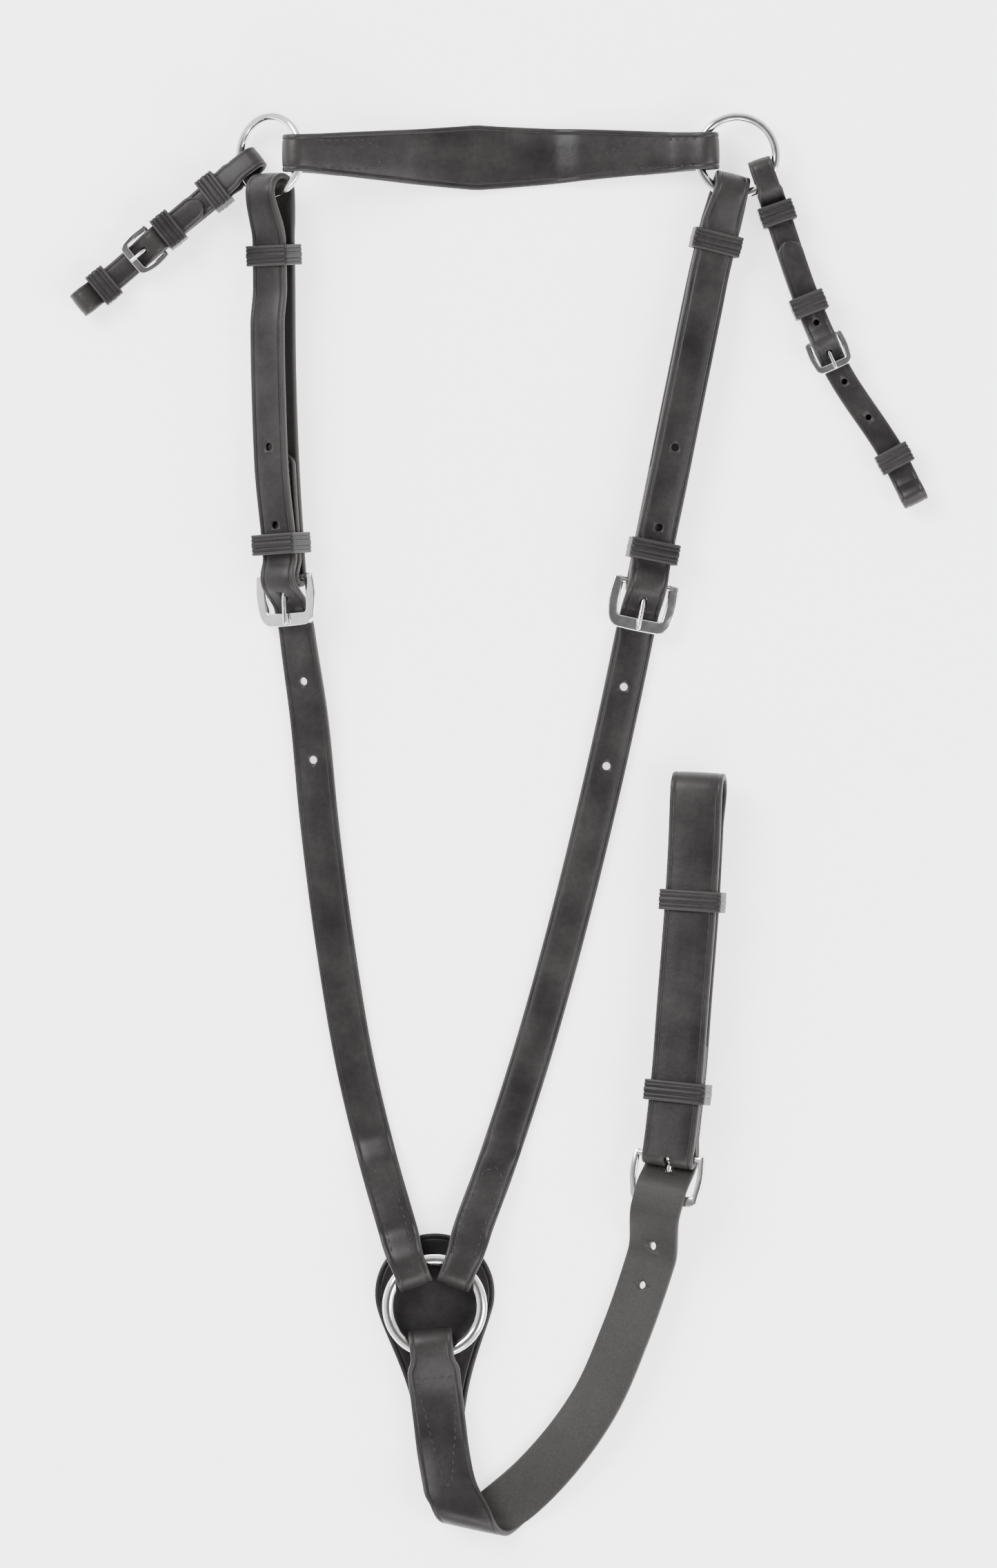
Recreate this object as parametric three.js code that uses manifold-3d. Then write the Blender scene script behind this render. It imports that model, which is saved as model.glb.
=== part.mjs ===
// A hunting breastplate martingale in bridle leather, laid out flat on a surface.
// A wither strap and two neck straps join two small rings to a chest ring, a girth strap runs
// from the chest ring to a loop for the girth, and a short dee strap hangs on each small ring.
// Lengths are in millimetres. X is across the neck, Y runs from chest to withers, +Z is up.
// While it is built the origin is the chest ring's centre on the surface; it is then moved to
// the middle of the finished assembly's footprint.
import * as THREE from 'three';
import { mergeVertices } from 'three/addons/utils/BufferGeometryUtils.js';
import Module from 'manifold-3d';

const wasm = await Module();
wasm.setup();

// Driving dimensions.
const GAP = 0.35;
const SURFACE_STEP = 6;
const NECK = { width: 19, thick: 3 };
const GIRTH = { width: 25.4, thick: 3 };
const DEE = { width: 12.7, thick: 2.5 };
const WITHER = { end: 18, middle: 31.7, thick: 3, middleX: 20 };
const UPPER_RING = { radius: 18.9, wire: 2.25 };
const CHEST_RING = { radius: 22.6, wire: 2.8, height: 9.8 };
const SAFE = { radius: 29, rise: 6, tail: -53, tailHalfWidth: 12.2, thick: 2.5 };
const KEEPER = { thick: 2, length: 10 };
const LEFT_RING_TILT = THREE.MathUtils.degToRad(38);
const LEFT_RING = new THREE.Vector3(-79.3, 555.7, 17.3);
const RIGHT_RING = new THREE.Vector3(146, 555.7, 10.6);
const HOLE_RADIUS = 2.2;
const NECK_BUCKLE = { width: 31.7, length: 24.3, front: 6, side: 5, bar: 1.7, thick: 3.2, prong: 1.25 };
const GIRTH_BUCKLE = { width: 35, length: 25, front: 5, side: 3.2, bar: 1.8, thick: 3.2, prong: 1.3 };
const DEE_BUCKLE = { width: 19.2, length: 16.4, front: 3.6, side: 2.8, bar: 1.35, thick: 2.6, prong: 0.95 };

const LEATHER = new THREE.Color(0x2b2828);
const STEEL = new THREE.Color(0xc9cbcc);

const group = new THREE.Group();

function addPart(name, geometry, colour) {
  const metal = colour === STEEL;
  const material = new THREE.MeshStandardMaterial({
    color: colour,
    roughness: metal ? 0.16 : 0.5,
    metalness: metal ? 1 : 0,
  });
  const mesh = new THREE.Mesh(geometry, material);
  mesh.name = name;
  group.add(mesh);
  return mesh;
}

// Solids for cutting and joining.
function toSolid(geometry) {
  const bare = geometry.clone();
  bare.deleteAttribute('normal');
  bare.deleteAttribute('uv');
  const merged = mergeVertices(bare, 1e-4);
  const vertProperties = new Float32Array(merged.attributes.position.array);
  const triVerts = new Uint32Array(merged.index.array);
  return new wasm.Manifold(new wasm.Mesh({ numProp: 3, vertProperties, triVerts }));
}

function toGeometry(solid) {
  const mesh = solid.getMesh();
  const geometry = new THREE.BufferGeometry();
  geometry.setAttribute('position', new THREE.BufferAttribute(mesh.vertProperties, 3));
  geometry.setIndex(new THREE.BufferAttribute(mesh.triVerts, 1));
  return geometry;
}

function cut(geometry, tools) {
  let solid = toSolid(geometry);
  for (const tool of tools) {
    solid = solid.subtract(toSolid(tool));
  }
  return toGeometry(solid);
}

function join(first, others) {
  let solid = toSolid(first);
  for (const other of others) {
    solid = solid.add(toSolid(other));
  }
  return toGeometry(solid);
}

// A lay is the line that a strap follows on the surface: points of x, y, height and roll.
class Lay {
  constructor(width, points) {
    this.halfWidth = width / 2;
    this.points = points;
    this.u = [0];
    for (let i = 1; i < points.length; i++) {
      const [x0, y0] = points[i - 1];
      const [x1, y1] = points[i];
      this.u.push(this.u[i - 1] + Math.hypot(x1 - x0, y1 - y0));
    }
    this.length = this.u[this.u.length - 1];
    this.slopes = points.map((_, i) => this.slope(i));
  }

  chord(i) {
    const run = this.u[i + 1] - this.u[i];
    return this.points[i].map((value, k) => (this.points[i + 1][k] - value) / run);
  }

  slope(i) {
    const last = this.points.length - 1;
    if (i === 0) return this.chord(0);
    if (i === last) return this.chord(last - 1);
    const before = this.u[i] - this.u[i - 1];
    const after = this.u[i + 1] - this.u[i];
    const next = this.chord(i);
    return this.chord(i - 1).map((c, k) => (c * after + next[k] * before) / (before + after));
  }

  at(u) {
    const last = this.points.length - 1;
    if (u <= 0 || u >= this.length) {
      const i = u <= 0 ? 0 : last;
      const over = u - this.u[i];
      const [dx, dy] = this.slopes[i];
      const [x, y, height, roll] = this.points[i];
      return { x: x + dx * over, y: y + dy * over, height, roll, dx, dy };
    }
    let i = 0;
    while (u > this.u[i + 1]) i++;
    const run = this.u[i + 1] - this.u[i];
    const t = (u - this.u[i]) / run;
    const value = [0, 1, 2, 3].map((k) => {
      const a = this.points[i][k];
      const b = this.points[i + 1][k];
      const ma = this.slopes[i][k] * run;
      const mb = this.slopes[i + 1][k] * run;
      return a + t * (ma + t * (3 * (b - a) - 2 * ma - mb + t * (2 * (a - b) + ma + mb)));
    });
    const rate = [0, 1].map((k) => {
      const a = this.points[i][k];
      const b = this.points[i + 1][k];
      const ma = this.slopes[i][k] * run;
      const mb = this.slopes[i + 1][k] * run;
      return (ma + t * (2 * (3 * (b - a) - 2 * ma - mb) + 3 * t * (2 * (a - b) + ma + mb))) / run;
    });
    return { x: value[0], y: value[1], height: value[2], roll: value[3], dx: rate[0], dy: rate[1] };
  }

  // The point u along the lay, v to the right of it and z above the surface, before it is rolled.
  place(u, v, z) {
    const c = this.at(u);
    const speed = Math.hypot(c.dx, c.dy);
    const sine = Math.sin(THREE.MathUtils.degToRad(c.roll));
    const cosine = Math.cos(THREE.MathUtils.degToRad(c.roll));
    const across = v * cosine - z * sine;
    const up = c.height + this.halfWidth * Math.abs(sine) + v * sine + z * cosine;
    return new THREE.Vector3(c.x + (c.dy / speed) * across, c.y - (c.dx / speed) * across, up);
  }

  // A rigid frame at u: x to the right, y along the lay, z out of the strap.
  frame(u, z) {
    const origin = this.place(u, 0, z);
    const right = this.place(u, 1, z).sub(origin).normalize();
    const along = this.place(u + 1, 0, z).sub(this.place(u - 1, 0, z));
    along.addScaledVector(right, -along.dot(right)).normalize();
    const out = new THREE.Vector3().crossVectors(right, along);
    return new THREE.Matrix4().makeBasis(right, along, out).setPosition(origin);
  }
}

// A strap's side view: stations of u and z, built up from eased runs and half turns.
class SideView {
  constructor(u, z) {
    this.stations = [{ u, z }];
  }

  get end() {
    return this.stations[this.stations.length - 1];
  }

  run(u, z, step = SURFACE_STEP) {
    const from = this.end;
    const length = Math.abs(u - from.u);
    const level = Math.abs(z - from.z) < 0.05;
    const count = Math.max(1, Math.round(length / (level ? step * 2.5 : step * 0.55)));
    for (let i = 1; i <= count; i++) {
      const t = i / count;
      const eased = t * t * (3 - 2 * t);
      this.stations.push({ u: from.u + (u - from.u) * t, z: from.z + (z - from.z) * eased });
    }
    return this;
  }

  // A half turn to height z that bulges towards the given side of u.
  turn(z, side, count = 8) {
    const from = this.end;
    const radius = (z - from.z) / 2;
    for (let i = 1; i <= count; i++) {
      const angle = (Math.PI * i) / count;
      this.stations.push({
        u: from.u + side * Math.abs(radius) * Math.sin(angle),
        z: from.z + radius * (1 - Math.cos(angle)),
      });
    }
    return this;
  }
}

// Frames along a side view on a lay. A flipped strap lies with its grain side down.
function layFrames(lay, stations, widthAt) {
  return stations.map(({ u, z }, i) => {
    const origin = lay.place(u, 0, z);
    const across = lay.place(u, 1, z).sub(origin).normalize();
    return { origin, across, width: widthAt(u, i, stations.length) };
  });
}

// A closed rectangular strap along frames that each hold an origin, an across direction and a width.
function strap(frames, thick) {
  const count = frames.length;
  const positions = [];
  frames.forEach((frame, i) => {
    const before = frames[Math.max(0, i - 1)].origin;
    const after = frames[Math.min(count - 1, i + 1)].origin;
    const along = after.clone().sub(before).normalize();
    const out = new THREE.Vector3().crossVectors(along, frame.across).normalize();
    const corners = [[-1, -1], [1, -1], [1, 1], [-1, 1]];
    for (const [side, face] of corners) {
      const point = frame.origin.clone();
      point.addScaledVector(frame.across, (side * frame.width) / 2);
      point.addScaledVector(out, (face * thick) / 2);
      positions.push(point.x, point.y, point.z);
    }
  });
  const index = [];
  for (let i = 0; i < count - 1; i++) {
    for (let k = 0; k < 4; k++) {
      const a = 4 * i + k;
      const b = 4 * i + ((k + 1) % 4);
      index.push(a, b, a + 4, b, b + 4, a + 4);
    }
  }
  const last = 4 * (count - 1);
  index.push(0, 2, 1, 0, 3, 2, last, last + 1, last + 2, last, last + 2, last + 3);
  const geometry = new THREE.BufferGeometry();
  geometry.setAttribute('position', new THREE.Float32BufferAttribute(positions, 3));
  geometry.setIndex(index);
  return outward(geometry);
}

// Turns every face round if the solid is inside out.
function outward(geometry) {
  const p = geometry.attributes.position;
  const index = geometry.index.array;
  const [a, b, c] = [new THREE.Vector3(), new THREE.Vector3(), new THREE.Vector3()];
  let volume = 0;
  for (let i = 0; i < index.length; i += 3) {
    a.fromBufferAttribute(p, index[i]);
    b.fromBufferAttribute(p, index[i + 1]);
    c.fromBufferAttribute(p, index[i + 2]);
    volume += a.dot(b.cross(c));
  }
  if (volume < 0) {
    for (let i = 0; i < index.length; i += 3) {
      const held = index[i + 1];
      index[i + 1] = index[i + 2];
      index[i + 2] = held;
    }
  }
  return geometry;
}

// A punched hole's tool: a short prism through the leather.
function punch(matrix, radius, depth) {
  const tool = new THREE.CylinderGeometry(radius, radius, depth, 8);
  tool.rotateX(Math.PI / 2);
  return tool.applyMatrix4(matrix);
}

function ring(radius, wire, segments, sides) {
  return new THREE.TorusGeometry(radius, wire, sides, segments);
}

// A keeper or runner: a closed band round a strap, in the strap's own frame.
function band(innerWidth, innerHeight, length, thick, matrix) {
  const half = innerWidth / 2;
  const shape = new THREE.Shape();
  const corner = 1.6;
  const [w, h] = [half + thick, innerHeight + thick];
  shape.moveTo(-w + corner, -thick);
  shape.lineTo(w - corner, -thick);
  shape.absarc(w - corner, -thick + corner, corner, -Math.PI / 2, 0, false);
  shape.lineTo(w, h - corner);
  shape.absarc(w - corner, h - corner, corner, 0, Math.PI / 2, false);
  shape.lineTo(-w + corner, h);
  shape.absarc(-w + corner, h - corner, corner, Math.PI / 2, Math.PI, false);
  shape.lineTo(-w, -thick + corner);
  shape.absarc(-w + corner, -thick + corner, corner, Math.PI, Math.PI * 1.5, false);
  const hole = new THREE.Path();
  hole.moveTo(-half, 0);
  hole.lineTo(-half, innerHeight);
  hole.lineTo(half, innerHeight);
  hole.lineTo(half, 0);
  hole.closePath();
  shape.holes.push(hole);
  const geometry = new THREE.ExtrudeGeometry(shape, { depth: length, bevelEnabled: false, curveSegments: 2 });
  geometry.rotateX(Math.PI / 2);
  geometry.translate(0, length / 2, 0);
  return geometry.applyMatrix4(matrix);
}

// A buckle in its own frame: the pivot bar lies on x, the front bar is towards -y.
function buckleFrame(b) {
  const [half, top, bottom] = [b.width / 2, b.bar, b.bar - b.length];
  const corner = b.side;
  const inner = half - b.side;
  const shape = new THREE.Shape();
  shape.moveTo(-half, top);
  shape.lineTo(-half, bottom + corner);
  shape.absarc(-half + corner, bottom + corner, corner, Math.PI, Math.PI * 1.5, false);
  shape.lineTo(half - corner, bottom);
  shape.absarc(half - corner, bottom + corner, corner, -Math.PI / 2, 0, false);
  shape.lineTo(half, top);
  shape.lineTo(inner, top);
  shape.lineTo(inner, bottom + b.front);
  shape.lineTo(-inner, bottom + b.front);
  shape.lineTo(-inner, top);
  shape.closePath();
  const plate = new THREE.ExtrudeGeometry(shape, { depth: b.thick, bevelEnabled: false, curveSegments: 4 });
  plate.translate(0, 0, -b.thick / 2);
  const bar = new THREE.CylinderGeometry(b.bar * 0.99, b.bar * 0.99, b.width - b.side, 14);
  bar.rotateZ(Math.PI / 2);
  return join(plate, [bar]);
}

function buckleReach(b) {
  return b.length - b.bar - b.front / 2;
}

// The prong's shank from the pivot bar's eye to its tip over the front bar, grown by a clearance.
function prongShank(b, clearance, lift = 0) {
  const start = new THREE.Vector3(0, -b.bar - 0.9, b.bar + 0.3);
  const rest = b.thick / 2 + GAP + b.prong + 0.4;
  const end = new THREE.Vector3(0, -buckleReach(b) - b.front * 0.35, rest);
  const along = end.clone().sub(start);
  const shank = new THREE.CapsuleGeometry(b.prong + clearance, along.length(), 2, 8);
  shank.translate(0, along.length() / 2, 0);
  shank.applyQuaternion(new THREE.Quaternion().setFromUnitVectors(
    new THREE.Vector3(0, 1, 0), along.normalize()));
  shank.translate(start.x, start.y, start.z);
  shank.rotateX(-THREE.MathUtils.degToRad(lift));
  return shank;
}

function pronged(b) {
  const eye = new THREE.CylinderGeometry(b.bar + 0.3 + b.prong, b.bar + 0.3 + b.prong, b.prong * 2, 14);
  eye.rotateZ(Math.PI / 2);
  const bore = new THREE.CylinderGeometry(b.bar + 0.3, b.bar + 0.3, b.prong * 4, 14);
  bore.rotateZ(Math.PI / 2);
  return cut(join(eye, [prongShank(b, 0)]), [bore]);
}

// Tools that open the leather for a prong: the slot in the fold and the hole in the strap above.
function prongTools(b, matrix, foldHalf) {
  const slot = new THREE.BoxGeometry((b.prong + 0.5) * 2, foldHalf * 2.4, foldHalf * 2 + 0.3);
  slot.translate(0, -foldHalf * 0.2, 0);
  const tools = [slot];
  for (const lift of [0, 3.5, 7]) {
    tools.push(prongShank(b, 0.45, lift));
  }
  return tools.map((tool) => tool.applyMatrix4(matrix));
}

function addBuckle(name, b, matrix) {
  addPart(`${name}_frame`, buckleFrame(b).applyMatrix4(matrix), STEEL);
  addPart(`${name}_prong`, pronged(b).applyMatrix4(matrix), STEEL);
}

// Levels of the leather layers where a strap is doubled through its buckle.
function levels(leather, b) {
  const t = leather.thick;
  const back = KEEPER.thick + GAP + t / 2;
  const bar = back + t / 2 + GAP + b.bar;
  const fold = bar + b.bar + GAP + t / 2;
  return { back, bar, fold, tongue: back + t + GAP, over: fold + t + GAP, foldHalf: b.bar + GAP + t };
}

function pointed(full, tipLength, start) {
  return (u) => {
    const t = THREE.MathUtils.clamp(Math.abs(u - start) / tipLength, 0.12, 1);
    return full * Math.sqrt(1 - (1 - t) ** 2);
  };
}

function findU(lay, y) {
  let [low, high] = [0, lay.length];
  for (let i = 0; i < 40; i++) {
    const middle = (low + high) / 2;
    if (lay.at(middle).y < y) low = middle;
    else high = middle;
  }
  return (low + high) / 2;
}

// Adds a strap along a side view with its tips pointed or rounded and its holes cut.
function addStrap(name, frames, thick, tools) {
  const body = strap(frames, thick);
  addPart(name, tools.length ? cut(body, tools) : body, LEATHER);
}

const CHEST_LOOP = { slack: 3.5, half: 5.2 };
const TOP_LOOP = { half: 7.8, level: 9.4, slack: 0.8 };
const TURN_BACK = 61;
const RUNNER_HEIGHT = 11;
const KEEPER_HEIGHT = 14;

// A neck strap runs from the chest ring to an upper ring, over it, and back to its buckle.
function neckStrap(side, points, at) {
  const { width, thick } = NECK;
  const lay = new Lay(width + 5.2, points);
  const b = NECK_BUCKLE;
  const level = levels(NECK, b);
  const bar = findU(lay, at.bar);
  const under = level.bar - b.thick / 2 - 0.6 - thick / 2;
  const front = level.tongue + thick + GAP + at.spacing;
  const runnerLevel = KEEPER.thick + RUNNER_HEIGHT - GAP - thick / 2;
  const floor = thick / 2;
  const ringBack = CHEST_RING.height - CHEST_LOOP.half;
  const view = new SideView(53, floor)
    .run(44, floor)
    .run(20, ringBack)
    .run(-CHEST_LOOP.slack, ringBack)
    .turn(CHEST_RING.height + CHEST_LOOP.half, -1)
    .run(4, CHEST_RING.height + CHEST_LOOP.half)
    .run(20, ringBack + thick + GAP)
    .run(44, floor + thick + GAP)
    .run(53.5, floor + thick + GAP)
    .run(66, floor)
    .run(bar - buckleReach(b) - b.front, floor)
    .run(bar - buckleReach(b) + b.front / 2 + 1.1, under)
    .run(bar - 1.2, level.over)
    .run(bar + 1, level.over)
    .run(bar + 10, level.tongue + thick + GAP + 0.2)
    .run(bar + TURN_BACK - 4, front)
    .run(lay.length - at.runner - 34, front)
    .run(lay.length - at.runner - 16, runnerLevel)
    .run(lay.length - at.runner + 6, runnerLevel)
    .run(lay.length + TOP_LOOP.slack, TOP_LOOP.level + TOP_LOOP.half)
    .turn(TOP_LOOP.level - TOP_LOOP.half, 1, 10)
    .run(lay.length - at.runner + 6, level.back)
    .run(bar, level.back)
    .turn(level.fold, -1)
    .run(bar + 9, level.tongue)
    .run(bar + TURN_BACK, level.tongue);
  const count = view.stations.length;
  const tipAtChest = pointed(1, 9, 53);
  const tipAtBuckle = pointed(1, 7, bar + TURN_BACK);
  const widthAt = (u, i) => {
    if (i < 6) return width * tipAtChest(u) * 0.94;
    if (i > count - 8) return width * tipAtBuckle(u);
    const nearLoop = Math.max(14 - u, u - lay.length + 14) / 14;
    return width * (1 - 0.115 * THREE.MathUtils.clamp(nearLoop, 0, 1));
  };
  const frames = layFrames(lay, view.stations, widthAt);
  const place = lay.frame(bar, level.bar);
  const tools = prongTools(b, place, level.foldHalf);
  for (const y of at.holesBelow) {
    tools.push(punch(lay.frame(findU(lay, y), floor), HOLE_RADIUS, thick * 2));
  }
  for (const y of at.holesAbove) {
    tools.push(punch(lay.frame(findU(lay, y), front), HOLE_RADIUS, thick * 2.4));
  }
  addStrap(`neck_strap_${side}`, frames, thick, tools);
  addBuckle(`neck_buckle_${side}`, b, place);
  const inner = width + 1.2;
  const keeperFrame = lay.frame(findU(lay, at.keeper), KEEPER.thick);
  addPart(`neck_keeper_${side}`,
    band(inner, KEEPER_HEIGHT, KEEPER.length, KEEPER.thick, keeperFrame), LEATHER);
  const runnerFrame = lay.frame(lay.length - at.runner, KEEPER.thick);
  addPart(`neck_runner_${side}`,
    band(inner, RUNNER_HEIGHT, KEEPER.length, KEEPER.thick, runnerFrame), LEATHER);
}

neckStrap('left', [
  [-12.2, 19.1, 0, 0],
  [-14.8, 26, 0, 0],
  [-17.3, 35, 0, 0],
  [-25.7, 64, 0, 0],
  [-38, 114, 0, 0],
  [-48.2, 174, 0, 0],
  [-55.8, 234, 0, 4],
  [-60.4, 284, 0, 14],
  [-66.4, 330, 0, 28],
  [-70.2, 384, 0, 33],
  [-73, 450, 0, 33],
  [-73.4, 504, 1, 34],
  [-73.5, 536.8, 3.3, 38],
], {
  bar: 352, keeper: 368.5, runner: 29, spacing: 3,
  holesBelow: [264, 302], holesAbove: [377.5, 415.3],
});

neckStrap('right', [
  [12.2, 19.1, 0, 0],
  [14.9, 26, 0, 0],
  [17.6, 35, 0, 0],
  [28.2, 64, 0, 0],
  [44.7, 114, 0, 0],
  [61.7, 174, 0, 0],
  [76.7, 234, 0, -2],
  [88, 284, 0, -5],
  [98, 332, 0, -6],
  [108.4, 384, 0, -6],
  [121.6, 450, 0, -6],
  [132.8, 504, 0, -6],
  [141, 537.4, 0, -6],
], {
  bar: 349, keeper: 365, runner: 24, spacing: 3,
  holesBelow: [261, 299.3], holesAbove: [376.3, 415],
});

// Rings.
const rightRing = ring(UPPER_RING.radius, UPPER_RING.wire, 40, 8);
rightRing.translate(RIGHT_RING.x, RIGHT_RING.y, RIGHT_RING.z);
addPart('upper_ring_right', rightRing, STEEL);

const leftRing = ring(UPPER_RING.radius, UPPER_RING.wire, 40, 8);
leftRing.rotateY(-LEFT_RING_TILT);
leftRing.translate(LEFT_RING.x, LEFT_RING.y, LEFT_RING.z);
addPart('upper_ring_left', leftRing, STEEL);

const chestRing = ring(CHEST_RING.radius, CHEST_RING.wire, 40, 8);
chestRing.translate(0, 0, CHEST_RING.height);
addPart('chest_ring', chestRing, STEEL);

// The wither strap is widest at its middle and folds under at both rings.
function witherStrap() {
  const { end, middle, thick, middleX } = WITHER;
  const level = 7.4;
  const half = 5.5;
  const leftX = LEFT_RING.x + UPPER_RING.radius * Math.cos(LEFT_RING_TILT);
  const leftWire = LEFT_RING.z + UPPER_RING.radius * Math.sin(LEFT_RING_TILT);
  const rightX = RIGHT_RING.x - UPPER_RING.radius;
  const lay = new Lay(0, [
    [leftX, 555.8, leftWire - level, 0],
    [leftX + 8, 555.8, leftWire - level - 0.3, 0],
    [leftX + 45, 555.4, 9, 0],
    [leftX + 80, 555.2, 1.7, 0],
    [leftX + 96, 555.3, 0.15, 0],
    [leftX + 112, 555.6, 0, 0],
    [rightX - 45, 556.8, 0, 0],
    [rightX, 557.9, RIGHT_RING.z - level, 0],
  ]);
  const floor = thick / 2;
  const tongue = 40;
  const view = new SideView(tongue, floor)
    .run(12, floor)
    .run(-1.9, level - half)
    .turn(level + half, -1)
    .run(14, floor + thick + GAP)
    .run(tongue + 0.5, floor + thick + GAP)
    .run(tongue + 14, floor)
    .run(lay.length - 70, floor)
    .run(lay.length - 56, floor + thick + GAP)
    .run(lay.length - 14, floor + thick + GAP)
    .run(lay.length + 3.4, level + half)
    .turn(level - half, 1)
    .run(lay.length - 12, floor)
    .run(lay.length - 54, floor);
  const count = view.stations.length;
  const middleU = middleX - leftX;
  const tipLeft = pointed(1, 12, tongue);
  const tipRight = pointed(1, 16, lay.length - 54);
  const widthAt = (u, i) => {
    const reach = u < middleU ? u / middleU : (lay.length - u) / (lay.length - middleU);
    const full = end + (middle - end) * THREE.MathUtils.clamp(reach, 0, 1);
    if (i < 6) return (end - 1) * tipLeft(u);
    if (i > count - 7) return (end - 1) * tipRight(u);
    return full;
  };
  addStrap('wither_strap', layFrames(lay, view.stations, widthAt), thick, []);
}
witherStrap();

// The pear-shaped safe keeps the chest ring off the horse.
function safe() {
  const { radius, rise, tail, tailHalfWidth, thick } = SAFE;
  const shape = new THREE.Shape();
  const lowAngle = -0.32;
  shape.absarc(0, rise, radius, lowAngle, Math.PI - lowAngle, false);
  const [edgeX, edgeY] = [radius * Math.cos(lowAngle), rise + radius * Math.sin(lowAngle)];
  shape.bezierCurveTo(-edgeX + 3.5, edgeY - 12, -tailHalfWidth - 2, tail + 22, -tailHalfWidth + 2.3, tail);
  shape.lineTo(tailHalfWidth + 2.3, tail);
  shape.bezierCurveTo(tailHalfWidth + 4.5, tail + 22, edgeX - 3.5, edgeY - 12, edgeX, edgeY);
  const geometry = new THREE.ExtrudeGeometry(shape, { depth: thick, bevelEnabled: false, curveSegments: 14 });
  addPart('safe', geometry, LEATHER);
}
safe();

// The girth strap runs from the chest ring, curls under and comes back flesh side up to its loop.
const GIRTH_NEAR = [
  [-1.3, -22.6, 0, 0],
  [0.4, -40, 0, 0],
  [2.3, -55.7, 0, 0],
  [4.4, -72, 0, 0],
  [7.7, -87, 0, 0],
  [13, -98.5, 0, 0],
];
const CURL = { radius: 6.6, axis: THREE.MathUtils.degToRad(-12), steps: 12, ease: 30 };
const GIRTH_FAR = [
  [48.8, -84, 0, 8],
  [64, -67, 0, 16],
  [78.5, -45.7, 0, 22],
  [91.8, -15.7, 0, 24],
  [105.6, 24.3, 0, 22],
  [113.8, 54.3, 0, 18],
  [119.8, 103, 0, 13],
  [123.4, 150, 0, 12],
  [127, 200, 0, 11],
  [129.3, 249, 0, 10],
];

// Turns a frame's across direction towards a line parallel to the curl's axis, keeping the edges.
function turnAcross(frame, axis, share) {
  const amount = THREE.MathUtils.smoothstep(share, 0, 1);
  if (amount === 0) return;
  const straight = frame.across.clone();
  frame.across.lerp(axis.clone().negate(), amount).normalize();
  frame.width /= frame.across.dot(straight);
}

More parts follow.
